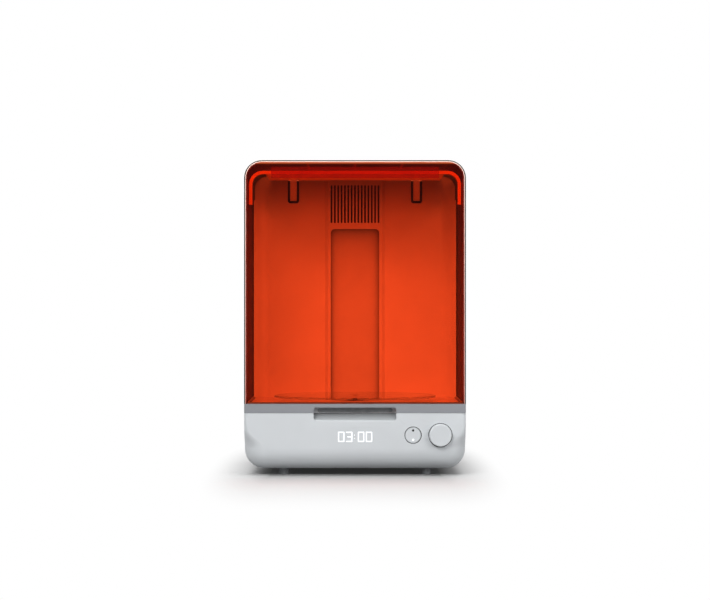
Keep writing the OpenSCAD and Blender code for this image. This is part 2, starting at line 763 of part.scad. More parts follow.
module fan_rotor(w, y0, x, z) {
    hub = w / 5;
    difference() {
        union() {
            bar_y(hub, y0 + 1, y0 + fan_d - 3, x, z);
            for (i = [0 : blade_count - 1]) translate([x, 0, z]) rotate([0, i * 360 / blade_count, 0])
                intersection() {
                    bar_y(w / 2 - 2.8, y0 + 1.2, y0 + fan_d - 3.2, 0, 0);
                    translate([hub - 1, y0 + fan_d / 2 - 1, 0]) rotate([38, 0, 0])
                        block(0, w, -8, 8, -0.6, 0.6);
                }
        }
        bar_y(1.5 + run_gap, y0 + 3, y0 + fan_d, x, z);
    }
}

module circulation_fan_frame() {
    color("black") fan_frame(fan_w, duct_y + duct_t, 0, grille_z);
}

module circulation_rotor() {
    color("dimgray") fan_rotor(fan_w, duct_y + duct_t, 0, grille_z);
}

module cooling_fan_frame() {
    color("black") fan_frame(cooler_w, inner_y - fan_d - 0.2, cooler_x, cooler_z);
}

module cooling_rotor() {
    color("dimgray") fan_rotor(cooler_w, inner_y - fan_d - 0.2, cooler_x, cooler_z);
}

module hood_shell() {
    color("orangered", 0.75) difference() {
        soft_arch(half_w, band_top, body_h, hood_corner_r, front_y, hinge_y, hood_edge_r);
        from_front(front_y + hood_wall, hinge_y - roof_rib_l)
            arch(hood_in_x, band_top - 1, roof_z, hood_corner_r - hood_wall);
        from_front(hinge_y - roof_rib_l - 1, hinge_y + 1)
            arch(half_w - hood_wall - roof_rib_t, band_top - 1, roof_z - roof_rib_t, crown_r + gap);
        block(-body_w, body_w, hood_end_y, hinge_y + 1, band_top - 1, hood_step_z);
    }
}

module hood_frame() {
    in_x = half_w - side_rail_w;
    in_y = front_y + front_rail_w;
    color("darkgray") difference() {
        union() {
            from_top(band_z, band_top) front_round(half_w, front_y, hood_end_y, hood_edge_r);
            from_top(band_z, band_top + frame_lip_h)
                rect(-hood_in_x, hood_in_x, front_y + hood_wall, hood_end_y);
        }
        block(-in_x, in_x, in_y, hood_end_y + 1, band_z - 1, band_top + 1);
        block(-hood_in_x, hood_in_x, cove_y - gap, hood_end_y + 1, band_z - 1, band_top + 1);
        block(frame_lip_t - hood_in_x, hood_in_x - frame_lip_t, front_y + hood_wall + frame_lip_t,
              hood_end_y + 1, band_top, band_top + frame_lip_h + 1);
        block(-half_w, half_w, cove_y - 2, hood_end_y + 1, band_top, band_top + frame_lip_h + 1);
        from_front(front_y - 1, in_y + 1) recess_view(0);
        from_front(front_y - 1, front_y + lip_ease) recess_view(lip_ease);
        for (x = [-magnet_x, magnet_x])
            block(x - magnet_w / 2, x + magnet_w / 2, magnet_y, magnet_y + magnet_d, band_z - 1, band_z + 4);
        for (x = [-seal_x, seal_x]) block(x - 0.8, x + 0.8, front_y + 12, cove_y - 4, band_z - 1, band_z + 1);
    }
}

module hood_seal() {
    color("black") for (x = [-seal_x, seal_x])
        block(x - 0.8, x + 0.8, front_y + 12, cove_y - 4, base_top + 0.1, band_z + 1);
}

module hood_magnets() {
    color("silver") for (x = [-magnet_x, magnet_x])
        block(x - magnet_w / 2, x + magnet_w / 2, magnet_y, magnet_y + magnet_d, band_z + 0.2, band_z + 4);
}

module hinge_arm(x) {
    flange_l = 46;
    flange_t = 2.6;
    tongue_d = 8;
    tongue_r = 1.2;
    under = roof_z - flange_t;
    tongue_z = hinge_z - notch_drop + (notch_w - arm_w) / 2;
    difference() {
        union() {
            block(x - 13, x + 13, hinge_y - flange_l, hinge_y - roof_rib_l - 1, under, roof_z);
            from_side(x - arm_w / 2, x + arm_w / 2) {
                translate([hinge_y, hinge_z]) circle(barrel_r - shell_wall);
                polygon([[liner_y, tongue_z + arm_w / 2], [liner_y + tongue_d, tongue_z + arm_w / 2],
                         [hinge_y - 2, hinge_z - 7], [hinge_y - 4, hinge_z + 7], [hinge_y - 18, under + 0.5],
                         [liner_y, under + 0.5]]);
            }
            from_front(liner_y, liner_y + tongue_d)
                round_rect(x - arm_w / 2, x + arm_w / 2, tongue_z, tongue_z + arm_w / 2 + 2 * tongue_r,
                           tongue_r);
        }
        bar_x(pin_r - 0.02 + run_gap, x - arm_w, x + arm_w, hinge_y, hinge_z);
    }
}

module left_hinge_arm() {
    color("silver") hinge_arm(-arm_x);
}

module right_hinge_arm() {
    color("silver") hinge_arm(arm_x);
}

module turntable() {
    rim_x = turntable_r - turntable_t / 2;
    color("wheat", 0.5) translate([0, table_y, table_z]) rotate_extrude($fn = 128) {
        translate([drive_r - 0.8, 0]) square([rim_x - drive_r + 0.8, turntable_t]);
        translate([rim_x, turntable_t / 2]) circle(turntable_t / 2, $fn = 24);
    }
}

module turntable_hub() {
    color("gray") translate([0, table_y, 0]) difference() {
        union() {
            bar_z(18, table_z - 2.6, table_z, 0, 0);
            bar_z(drive_r - 1.2, table_z - 1, table_z + turntable_t, 0, 0);
        }
        bar_z(drive_r - 1.8, table_z - 3, table_z - 0.4, 0, 0);
    }
}

module drive_shaft() {
    color("silver") {
        bar_z(drive_r, deck_rim_z - 24, table_z - 2.6, 0, table_y);
        bar_z(drive_r - 1.85, table_z - 2.7, table_z - 0.5, 0, table_y);
    }
}

module spindle_bush() {
    color("goldenrod") difference() {
        union() {
            bar_z(drive_r + 4, deck_rim_z, floor_top + 0.6, 0, table_y);
            bar_z(drive_r + 7, floor_top, floor_top + 0.8, 0, table_y);
        }
        bar_z(drive_r + run_gap, deck_rim_z - 1, floor_top + 2, 0, table_y);
    }
}

module gear_motor() {
    top = deck_rim_z;
    color("silver") difference() {
        union() {
            bar_z(motor_r, top - 26, top, 0, table_y);
            for (s = [-1, 1])
                block(s * (motor_r + 3) - 6, s * (motor_r + 3) + 6, table_y - 6, table_y + 6, top - 2, top);
        }
        bar_z(drive_r + run_gap, top - 25, top + 1, 0, table_y);
        for (s = [-1, 1]) bar_z(screw_r, top - 3, top + 1, s * (motor_r + 5), table_y);
    }
}

module display_module() {
    color("black") union() {
        block(-display_w / 2 + fit, display_w / 2 - fit, front_y + 1, wall_in_y + 3,
              control_h - display_h / 2 + fit, control_h + display_h / 2 - fit);
        block(-display_w / 2 - 4, display_w / 2 + 4, wall_in_y + 3, wall_in_y + 3 + board_t,
              control_h - display_h / 2 - 3, control_h + display_h / 2 + 3);
    }
}

module control_board() {
    color("darkgreen") union() {
        block(button_x - 26, dial_x + 16, board_y, board_y + board_t, control_h - 15, control_h + 15);
        block(button_x - 3, button_x + 3, board_y - switch_h, board_y, control_h - 3, control_h + 3);
        block(button_x - 24, button_x - 19, board_y - 5, board_y, control_h - 8, control_h + 8);
        for (s = [-1, 1]) bar_y(2.5, wall_in_y + fit, board_y, dial_x + s * 7, control_h - s * 10);
        bar_y(2.5, wall_in_y + fit, board_y, button_x - 14, control_h + 11);
    }
}

module mode_button() {
    color("gainsboro") difference() {
        union() {
            bar_y(button_r, front_y + 0.2, wall_in_y + 1, button_x, control_h);
            bar_y(button_r + 1.6, wall_in_y + 0.2, wall_in_y + 1.7, button_x, control_h);
            bar_y(2, wall_in_y + 1, board_y - switch_h - button_travel - 0.1, button_x, control_h);
        }
        for (s = [-1, 1]) bar_y(spot_r, front_y, front_y + 3, button_x, control_h + s * spot_offset);
    }
}

module button_spot(s) {
    bar_y(spot_r - 0.01, front_y + 0.15, front_y + 3, button_x, control_h + s * spot_offset);
}

module dark_spot() {
    color("black") button_spot(1);
}

module lit_spot() {
    color("white") button_spot(-1);
}

module encoder_case() {
    color("silver") difference() {
        union() {
            block(dial_x - 6.5, dial_x + 6.5, case_y, board_y, control_h - 6.5, control_h + 6.5);
            bar_y(4.4, wall_in_y, case_y, dial_x, control_h);
        }
        bar_y(shaft_r + run_gap, wall_in_y - 1, board_y - 1, dial_x, control_h);
    }
}

module encoder_shaft() {
    color("silver") bar_y(shaft_r, front_y - dial_proud + 3, board_y - 3, dial_x, control_h);
}

module encoder_plunger() {
    color("black") bar_y(shaft_r - 0.2, board_y - 2.95, board_y - 1.1 - dial_travel, dial_x, control_h);
}

module dial() {
    skirt = front_y + dial_seat;
    top = front_y - dial_proud;
    color("gainsboro") difference() {
        translate([dial_x, 0, control_h]) rotate([-90, 0, 0])
            rotate_extrude() polygon(concat([[0, top]], [for (a = [90 : -15 : 0])
                [dial_r - 0.3 - 1.4 + 1.4 * cos(a), top + 1.4 - 1.4 * sin(a)]],
                [[dial_r, skirt], [0, skirt]]));
        bar_y(shaft_r + 0.01, front_y - dial_proud + 2.9, wall_in_y, dial_x, control_h);
    }
}

module main_board() {
    y0 = board_y0;
    y1 = y0 + 84;
    z = base_z + 16;
    color("darkgreen") union() {
        block(-62, 40, y0, y1, z, z + board_t);
        for (x = [-56, 34], y = [y0 + 6, y1 - 6]) bar_z(3, base_z + cover_t, z + 1, x, y);
        block(-52, -34, y0 + 14, y0 + 32, z + 1, z + 8);
        block(-30, -14, y0 + 14, y0 + 30, z + 1, z + 4);
        for (i = [0 : 3]) bar_z(4, z + 1, z + 13, -40 + i * 11, y1 - 16);
        block(20, 36, y0 + 24, y0 + 64, z + 1, z + 11);
    }
}

module power_supply() {
    x0 = -62;
    x1 = 4;
    y0 = supply_y[0];
    y1 = supply_y[1];
    z = base_z + cover_t;
    board_z = base_z + 10;
    color("slategray") union() {
        block(x0, x1, y0, y1, z + 2, z + 4);
        block(x0, x1, y0, y0 + 2, z + 3, base_z + 34);
        block(x0, x0 + 2, y0, y1, z + 3, base_z + 34);
        block(x0 + 4, x1 - 4, y0 + 4, y1 - 2, board_z, board_z + board_t);
        block(x0 + 22, x0 + 46, y0 + 18, y0 + 44, board_z + 1, board_z + 22);
        for (i = [0 : 2]) bar_z(6, board_z + 1, board_z + 20, x0 + 14 + i * 15, y1 - 12);
        for (x = [x0 + 8, x1 - 8], y = [y0 + 8, y1 - 6]) bar_z(2, z + 3, board_z + 0.5, x, y);
    }
}

module mains_inlet() {
    y1 = rear_y - port_depth;
    color("black") difference() {
        union() {
            block(inlet_x - inlet_w / 2 - 2, inlet_x + inlet_w / 2 + 2, y1, y1 + 2, port_z - inlet_h / 2 - 2,
                  port_z + inlet_h / 2 + 2);
            block(inlet_x - inlet_w / 2 + 0.2, inlet_x + inlet_w / 2 - 0.2, y1 - 22, y1 + 1,
                  port_z - inlet_h / 2 + 0.2, port_z + inlet_h / 2 - 0.2);
        }
        from_front(y1 - 17, y1 + 3) translate([inlet_x, port_z])
            polygon([[-12.2, -8.4], [12.2, -8.4], [12.2, 4.4], [8.2, 8.4], [-8.2, 8.4], [-12.2, 4.4]]);
        for (p = pin_places) from_front(y1 - 24, y1 - 16) translate([inlet_x + p[0], port_z + p[1]])
            square([2, 4], center = true);
    }
}

module inlet_pins() {
    y1 = rear_y - port_depth;
    color("silver") for (p = pin_places)
        from_front(y1 - 28, y1 - 3) translate([inlet_x + p[0], port_z + p[1]]) square([2, 4], center = true);
}

module rocker_frame() {
    y1 = rear_y - port_depth;
    color("black") difference() {
        union() {
            block(rocker_x - 7.5, rocker_x + 7.5, y1, y1 + 1.6, port_z - 10.5, port_z + 10.5);
            block(rocker_x - 6.3, rocker_x + 6.3, y1 - 18, y1 + 1, port_z - 9.3, port_z + 9.3);
        }
        block(rocker_x - 4.8, rocker_x + 4.8, y1 - 7, y1 + 2, port_z - rocker_h - 1.4,
              port_z + rocker_h + 1.4);
        bar_x(1 + run_gap, rocker_x - 5.8, rocker_x + 5.8, y1 - 2, port_z);
    }
}

module power_rocker() {
    y1 = rear_y - port_depth;
    color("black") union() {
        from_side(rocker_x - 4.4, rocker_x + 4.4) translate([y1 - 2, port_z])
            polygon([[-1.6, -3], [2.6, -rocker_h], [3.4, 0.6 - rocker_h], [3, 0], [4.8, rocker_h - 1],
                     [4.2, rocker_h], [1.8, rocker_h], [-1.6, 3]]);
        bar_x(1, rocker_x - 5.6, rocker_x + 5.6, y1 - 2, port_z);
    }
}

base_shell();
bottom_cover();
bottom_screws();
feet();
chamber_floor();
base_magnets();
hood_sensor();
spine_shell();
rear_liner();
duct_cover();
lamp_canopy();
lamp_diffuser();
canopy_light_board();
rear_light_boards();
rear_heat_sinks();
hinge_brackets();
hinge_pins();
friction_washers();
hinge_screws();
heater();
circulation_fan_frame();
circulation_rotor();
hood_shell();
hood_frame();
hood_seal();
hood_magnets();
left_hinge_arm();
right_hinge_arm();
turntable();
turntable_hub();
drive_shaft();
spindle_bush();
gear_motor();
display_module();
control_board();
mode_button();
lit_spot();
dark_spot();
encoder_case();
encoder_shaft();
encoder_plunger();
dial();
main_board();
power_supply();
cooling_fan_frame();
cooling_rotor();
mains_inlet();
inlet_pins();
rocker_frame();
power_rocker();
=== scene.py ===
import math

import bmesh
import bpy
from mathutils import Matrix, Vector


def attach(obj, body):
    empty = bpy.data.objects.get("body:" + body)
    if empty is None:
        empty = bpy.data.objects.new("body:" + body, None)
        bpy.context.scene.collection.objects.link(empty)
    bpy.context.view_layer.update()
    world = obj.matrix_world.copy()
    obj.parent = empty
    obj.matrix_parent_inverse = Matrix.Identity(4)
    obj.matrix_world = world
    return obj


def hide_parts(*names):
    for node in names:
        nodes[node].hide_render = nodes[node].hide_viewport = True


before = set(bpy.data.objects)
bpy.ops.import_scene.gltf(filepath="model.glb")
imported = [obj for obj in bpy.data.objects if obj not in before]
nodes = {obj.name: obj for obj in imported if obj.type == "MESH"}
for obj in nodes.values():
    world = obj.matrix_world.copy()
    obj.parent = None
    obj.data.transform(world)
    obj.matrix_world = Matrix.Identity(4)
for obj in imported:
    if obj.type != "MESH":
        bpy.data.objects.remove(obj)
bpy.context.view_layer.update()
mm = 0.001
print("frame loaded,", len(nodes), "nodes")


# Materials

def linearColour(code):
    # sRGB hex to the linear values that a shader takes
    parts = [int(code[i:i + 2], 16) / 255 for i in (1, 3, 5)]
    return [c / 12.92 if c <= 0.04045 else ((c + 0.055) / 1.055) ** 2.4 for c in parts] + [1]


def addNode(tree, kind, settings=None, links=None):
    # small letters set the node itself, capitals and numbers its sockets
    node = tree.nodes.new("ShaderNode" + kind)
    for key, value in (settings or {}).items():
        if isinstance(key, int) or key[0].isupper():
            node.inputs[key].default_value = value
        else:
            setattr(node, key, value)
    for key, source in (links or {}).items():
        tree.links.new(source, node.inputs[key])
    return node


def emptyMaterial(name):
    material = bpy.data.materials.new(name)
    material.use_nodes = True
    material.node_tree.nodes.clear()
    return material, material.node_tree


def noiseAt(tree, place, sizeMm, detail=2):
    # a noise whose features are about sizeMm wide, spread to run from 0 to 1
    noise = addNode(tree, "TexNoise", {"Scale": 1 / (sizeMm * mm), "Detail": detail}, {"Vector": place})
    middle = {"From Min": 0.3, "From Max": 0.7}
    return addNode(tree, "MapRange", middle, {"Value": noise.outputs["Fac"]}).outputs[0]


def blendColours(tree, amount, first, second):
    return addNode(tree, "Mix", {"data_type": "RGBA", 6: linearColour(first), 7: linearColour(second)},
                   {0: amount}).outputs[2]


def grainedSurface(name, look, shading=None):
    # colour and gloss drift over the piece, and a fine bump comes from the mould or the rolling;
    # shading gives the places where painted shade turns the colour towards the shaded one
    material, tree = emptyMaterial(name)
    place = addNode(tree, "TexCoord").outputs["Object"]
    if "brushed" in look:
        place = addNode(tree, "Mapping", {"Scale": look["brushed"]}, {"Vector": place}).outputs[0]
    drift = noiseAt(tree, place, look["driftMm"])
    grain = noiseAt(tree, place, look["grainMm"], 3)
    colour = blendColours(tree, drift, look["colour"], look["colourTo"])
    if shading:
        colour = addNode(tree, "Mix", {"data_type": "RGBA", 7: linearColour(look["shaded"])},
                         {0: shading(tree, place), 6: colour}).outputs[2]
    low, high = look["roughness"]
    rough = addNode(tree, "MapRange", {"To Min": low, "To Max": high}, {"Value": grain}).outputs[0]
    bump = addNode(tree, "Bump", {"Strength": look["bump"], "Distance": look["grainMm"] * mm * 0.2},
                   {"Height": grain}).outputs[0]
    metallic, ior = look.get("metallic", 0), look.get("ior", 1.5)
    shader = addNode(tree, "BsdfPrincipled", {"Metallic": metallic, "IOR": ior},
                     {"Base Color": colour, "Roughness": rough, "Normal": bump})
    addNode(tree, "OutputMaterial", {}, {"Surface": shader.outputs[0]})
    return material


lightGrey = {"colour": "#CDD1D4", "colourTo": "#C9CDD0", "driftMm": 60, "grainMm": 1.2,
             "roughness": (0.42, 0.5), "bump": 0.05}


def lightGreyAbs():
    # moulded ABS, fine spark grain: matt, even, faintly cool grey
    return grainedSurface("moulded ABS, light grey", lightGrey)


scoop = {"x": 50.4, "y": (-130.6, -118), "paintedShade": (66, 76.5), "top": 76.75, "most": 0.85}


def shadedScoop(tree, place):
    # amount of painted shade in the finger recess: none at its lower edge, deep under the hood's rail
    across = addNode(tree, "SeparateXYZ", {}, {"Vector": place}).outputs
    aside = addNode(tree, "Math", {"operation": "ABSOLUTE"}, {0: across["X"]}).outputs[0]
    low, high = scoop["paintedShade"]
    amount = addNode(tree, "MapRange", {"interpolation_type": "SMOOTHSTEP", "From Min": low * mm,
                     "From Max": high * mm, "To Max": scoop["most"]}, {"Value": across["Z"]}).outputs[0]
    front, rear = scoop["y"]
    limits = [(aside, "LESS_THAN", scoop["x"]), (across["Y"], "GREATER_THAN", front),
              (across["Y"], "LESS_THAN", rear), (across["Z"], "LESS_THAN", scoop["top"])]
    for source, test, limit in limits:
        inside = addNode(tree, "Math", {"operation": test, 1: limit * mm}, {0: source}).outputs[0]
        amount = addNode(tree, "Math", {"operation": "MULTIPLY"}, {0: amount, 1: inside}).outputs[0]
    return amount


def basePanAbs():
    # the light grey ABS of the pan, with painted shade sunk into the finger recess
    look = {**lightGrey, "shaded": "#3E3F41"}
    return grainedSurface("moulded ABS, light grey, base pan, painted recess shade", look, shadedScoop)


insert = {"x": 31.75, "z": (90.65, 308.9), "y": (87.1, 87.42), "r": 5.25, "edge": 0.1,
          "side": {"most": 0.62, "perMm": 0.8}, "top": {"most": 0.72, "perMm": 0.895}}


def shadedInsert(tree, place):
    # painted shadow in place of the one that the rim of the duct's recess throws on the insert: deep at its
    # edge, soon gone
    across = addNode(tree, "SeparateXYZ", {}, {"Vector": place}).outputs
    aside = addNode(tree, "Math", {"operation": "ABSOLUTE"}, {0: across["X"]}).outputs[0]
    left = []
    for source, edge, rim in ((aside, insert["x"], insert["side"]),
                              (across["Z"], insert["z"][1], insert["top"])):
        inwards = addNode(tree, "MapRange", {"clamp": False, "From Min": edge * mm,
                          "From Max": (edge - 1) * mm}, {"Value": source}).outputs[0]
        faded = addNode(tree, "Math", {"operation": "POWER", 0: rim["perMm"]}, {1: inwards}).outputs[0]
        paintedShade = addNode(tree, "Math", {"operation": "MULTIPLY", 1: rim["most"]}, {0: faded}).outputs[0]
        left.append(addNode(tree, "Math", {"operation": "SUBTRACT", 0: 1}, {1: paintedShade}).outputs[0])
    lit = addNode(tree, "Math", {"operation": "MULTIPLY"}, {0: left[0], 1: left[1]}).outputs[0]
    return addNode(tree, "Math", {"operation": "SUBTRACT", 0: 1, "use_clamp": True}, {1: lit}).outputs[0]


whiteMoulding = {"colour": "#F1F1EE", "colourTo": "#EBEBE8", "driftMm": 45, "grainMm": 2.0,
                 "roughness": (0.32, 0.42), "bump": 0.06, "ior": 1.58}
wallTop = {"z": (315, 380), "most": 0.72}


def shadedTop(tree, place):
    # painted shade: the walls turn darker towards the ceiling, standing in for the shade that the canopy
    # casts
    height = addNode(tree, "SeparateXYZ", {}, {"Vector": place}).outputs["Z"]
    low, high = wallTop["z"]
    return addNode(tree, "MapRange", {"interpolation_type": "SMOOTHSTEP", "From Min": low * mm,
                   "From Max": high * mm, "To Max": wallTop["most"]}, {"Value": height}).outputs[0]


def wallPolycarbonate():
    # the white moulding of the chamber's walls, with painted shade on their top
    look = {**whiteMoulding, "shaded": "#1E1C1B"}
    return grainedSurface("moulded polycarbonate, chamber walls, painted top shade", look, shadedTop)


def insertAbs():
    # satin ABS panel a shade darker than the walls round it, with painted shadow along its top and sides
    return grainedSurface("moulded ABS, off-white, painted rim shade", {
        "colour": "#E2E2DF", "colourTo": "#DDDDDA", "driftMm": 45, "grainMm": 1.6,
        "roughness": (0.38, 0.48), "bump": 0.05, "shaded": "#1C1A19"}, shadedInsert)


def midGreyAbs():
    # the same ABS in a darker grey, a little smoother
    return grainedSurface("moulded ABS, mid grey", {
        "colour": "#8E9095", "colourTo": "#8A8C91", "driftMm": 60, "grainMm": 1.2,
        "roughness": (0.36, 0.44), "bump": 0.05})


def darkHousingAbs():
    # flame-retardant ABS, coarse grain: a soft dark grey that hides wear
    return grainedSurface("textured ABS, graphite", {
        "colour": "#43474C", "colourTo": "#3E4247", "driftMm": 50, "grainMm": 1.5,
        "roughness": (0.48, 0.6), "bump": 0.16})


def whitePolycarbonate():
    # moulded white polycarbonate that spreads the curing light: satin, clean white
    return grainedSurface("moulded polycarbonate, white", whiteMoulding)


def blackNylon():
    # glass-filled nylon: near-black with a dull, slightly mottled skin
    return grainedSurface("glass-filled nylon, black", {
        "colour": "#1B1B1C", "colourTo": "#232324", "driftMm": 12, "grainMm": 0.9,
        "roughness": (0.4, 0.58), "bump": 0.14})


def darkAbs():
    # plain dark grey ABS of covers underneath
    return grainedSurface("moulded ABS, dark grey", {
        "colour": "#4A4C4E", "colourTo": "#444648", "driftMm": 30, "grainMm": 1.2,
        "roughness": (0.45, 0.55), "bump": 0.12})


def footRubber():
    # moulded silicone-free rubber: matt grey with a dusty bloom
    return grainedSurface("moulded rubber, grey", {
        "colour": "#6E7072", "colourTo": "#7C7E80", "driftMm": 6, "grainMm": 0.8,
        "roughness": (0.75, 0.9), "bump": 0.2})


def brushedSteel():
    # stamped and tumbled steel: fine straight marks, soft mirror
    return grainedSurface("tumbled steel", {
        "colour": "#C3C4C6", "colourTo": "#B3B5B8", "driftMm": 8, "grainMm": 0.7,
        "roughness": (0.24, 0.38), "bump": 0.06, "metallic": 1, "brushed": (1, 0.12, 1)})


def extrudedAluminium():
    # mill-finish extrusion: die lines run along the fins
    return grainedSurface("extruded aluminium", {
        "colour": "#D6D8DA", "colourTo": "#C6C8CB", "driftMm": 10, "grainMm": 0.8,
        "roughness": (0.28, 0.42), "bump": 0.08, "metallic": 1, "brushed": (1, 1, 0.1)})


def sinteredBrass():
    # sintered bronze bush: warm, slightly porous
    return grainedSurface("sintered bronze", {
        "colour": "#B98D4B", "colourTo": "#A67A3C", "driftMm": 3, "grainMm": 0.5,
        "roughness": (0.35, 0.5), "bump": 0.15, "metallic": 1})


def powderCoat():
    # powder coat over cast metal: even, pale and a little pebbled
    return grainedSurface("powder coat, pale grey", {
        "colour": "#DCDDDD", "colourTo": "#D4D5D6", "driftMm": 15, "grainMm": 1.1,
        "roughness": (0.4, 0.52), "bump": 0.14})


def circuitLaminate():
    # glass-epoxy laminate under solder mask: glossy green with lighter copper tracks below it
    material, tree = emptyMaterial("solder-masked glass epoxy")
    place = addNode(tree, "TexCoord").outputs["Object"]
    trackPitchMm = 2.6
    tracks = addNode(tree, "TexBrick", {"offset": 0.5, "squash": 1.6, "Scale": 1 / (trackPitchMm * mm),
                     "Mortar Size": 0.09, "Mortar": linearColour("#2E7A46"),
                     "Color1": linearColour("#0F4A2C"), "Color2": linearColour("#13562F")}, {"Vector": place})
    weave = noiseAt(tree, place, 1.0)
    bump = addNode(tree, "Bump", {"Strength": 0.12, "Distance": 0.1 * mm}, {"Height": weave}).outputs[0]
    rough = addNode(tree, "MapRange", {"To Min": 0.22, "To Max": 0.34}, {"Value": weave}).outputs[0]
    shader = addNode(tree, "BsdfPrincipled", {"IOR": 1.55}, {"Base Color": tracks.outputs["Color"],
                     "Roughness": rough, "Normal": bump})
    addNode(tree, "OutputMaterial", {}, {"Surface": shader.outputs[0]})
    return material


acrylicMirror = 0.035  # share that a polished face mirrors face on


def clearSheet(name, look):
    # cast acrylic as two faces: each tints what passes, mirrors a little face on and more at a slant
    material, tree = emptyMaterial(name)
    place = addNode(tree, "TexCoord").outputs["Object"]
    facing = addNode(tree, "LayerWeight", {"Blend": 0.5}).outputs["Facing"]
    longPath = addNode(tree, "MapRange", {"interpolation_type": "SMOOTHSTEP", "From Min": look["slantFrom"],
                       "From Max": look["slantTo"]}, {"Value": facing}).outputs[0]
    tint = blendColours(tree, longPath, look["tint"], look["slantTint"])
    haze = noiseAt(tree, place, look["hazeMm"])
    rough = addNode(tree, "MapRange", {"To Min": look["roughness"][0], "To Max": look["roughness"][1]},
                    {"Value": haze}).outputs[0]
    fifth = addNode(tree, "Math", {"operation": "POWER", 1: 5}, {0: facing}).outputs[0]
    mirrored = addNode(tree, "MapRange", {"To Min": acrylicMirror, "To Max": look["slantMirror"]},
                       {"Value": fifth}).outputs[0]
    through = addNode(tree, "BsdfTransparent", {}, {"Color": tint}).outputs[0]
    gloss = addNode(tree, "BsdfGlossy", {"Color": linearColour(look["gloss"])}, {"Roughness": rough})
    sheet = addNode(tree, "MixShader", {}, {0: mirrored, 1: through, 2: gloss.outputs[0]}).outputs[0]
    if "edge" in look:
        sheet = litEdge(tree, place, sheet, look["edge"])
    addNode(tree, "OutputMaterial", {}, {"Surface": sheet})
    return material


def litEdge(tree, place, sheet, edge):
    # painted highlight: the rounded front edge gets a thin pale line, lighter towards the top, with a painted
    # dark rim outside it
    turned = addNode(tree, "TexCoord").outputs["Normal"]
    turned = addNode(tree, "SeparateXYZ", {}, {"Vector": turned}).outputs["Y"]
    straight = addNode(tree, "Math", {"operation": "ABSOLUTE"}, {0: turned}).outputs[0]
    tilt = addNode(tree, "Math", {"operation": "SUBTRACT", 0: 1}, {1: straight}).outputs[0]
    across = addNode(tree, "SeparateXYZ", {}, {"Vector": place}).outputs
    front = addNode(tree, "Math", {"operation": "LESS_THAN", 1: edge["backMm"] * mm},
                    {0: across["Y"]}).outputs[0]
    foot, top = edge["z"]
    height = addNode(tree, "MapRange", {"From Min": foot * mm, "From Max": top * mm},
                     {"Value": across["Z"]}).outputs[0]
    # painted glow: the sawn end of the roof sheet is given an orange emission along the top
    sawnFrom, sawnTo = edge["sawn"]
    sawn = addNode(tree, "MapRange", {"interpolation_type": "SMOOTHSTEP", "From Min": sawnFrom * mm,
                   "From Max": sawnTo * mm, "To Max": edge["paintedGlowMost"]}, {"Value": across["Z"]}).outputs[0]
    sawn = addNode(tree, "Math", {"operation": "MULTIPLY"}, {0: sawn, 1: front}).outputs[0]
    paintedGlow = addNode(tree, "Emission", {"Color": linearColour(edge["paintedGlow"]), "Strength": 1})
    sheet = addNode(tree, "MixShader", {}, {0: sawn, 1: sheet, 2: paintedGlow.outputs[0]}).outputs[0]
    paintedHighlightColour = blendColours(tree, height, edge["low"], edge["high"])
    paintedHighlight = addNode(tree, "BsdfDiffuse", {}, {"Color": paintedHighlightColour})
    dark = addNode(tree, "BsdfDiffuse", {"Color": linearColour(edge["paintedDarkRim"])})
    lineFrom, lineOn, lineTo, lineOff = edge["line"]
    outside = addNode(tree, "MapRange", {"interpolation_type": "SMOOTHSTEP", "From Min": lineTo,
                      "From Max": lineOff}, {"Value": tilt}).outputs[0]
    rounded = addNode(tree, "MixShader", {}, {0: outside, 1: paintedHighlight.outputs[0], 2: dark.outputs[0]})
    begun = addNode(tree, "MapRange", {"interpolation_type": "SMOOTHSTEP", "From Min": lineFrom,
                    "From Max": lineOn}, {"Value": tilt}).outputs[0]
    amount = addNode(tree, "Math", {"operation": "MULTIPLY"}, {0: begun, 1: front}).outputs[0]
    return addNode(tree, "MixShader", {}, {0: amount, 1: sheet, 2: rounded.outputs[0]}).outputs[0]


# painted highlight and painted dark rim along the hood's front edge: their steps are in how far the face has
# turned from the front
hoodEdge = {"backMm": -128.4, "z": (90, 387), "low": "#D6A096", "high": "#FFDFD2", "paintedDarkRim": "#1E1A17",
            "line": (0.008, 0.028, 0.1, 0.16), "sawn": (381.6, 384.4), "paintedGlow": "#DC6538", "paintedGlowMost": 0.8}


def amberAcrylic():
    # light-blocking cast acrylic: deep orange face on, red-brown where light runs along the sheet;
    # its front edge carries a painted highlight, a painted dark rim and a painted orange glow
    return clearSheet("cast acrylic, amber", {
        "tint": "#FBBC9B", "slantTint": "#873A34", "slantFrom": 0.5, "slantTo": 0.93, "hazeMm": 40,
        "roughness": (0.015, 0.035), "gloss": "#FFF3EE", "slantMirror": 0.14, "edge": hoodEdge})


def clearAcrylic():
    # water-clear cast acrylic: shows by its edge and its mirror alone
    return clearSheet("cast acrylic, clear", {
        "tint": "#F6F8F8", "slantTint": "#C9D4D2", "slantFrom": 0.4, "slantTo": 0.98, "hazeMm": 30,
        "roughness": (0.02, 0.05), "gloss": "#FFFFFF", "slantMirror": 0.9})


def paintedGlowAcrylic():
    # fluorescent orange acrylic, which gathers light over its faces and gives it off at its edges;
    # here every face has a faint painted glow
    material, tree = emptyMaterial("fluorescent acrylic, orange, painted glow")
    place = addNode(tree, "TexCoord").outputs["Object"]
    drift = noiseAt(tree, place, 30)
    colour = blendColours(tree, drift, "#FF8A1C", "#FB7C10")
    shader = addNode(tree, "BsdfPrincipled", {"Roughness": 0.22, "IOR": 1.49, "Emission Strength": 0.1},
                     {"Base Color": colour, "Emission Color": colour})
    addNode(tree, "OutputMaterial", {}, {"Surface": shader.outputs[0]})
    return material


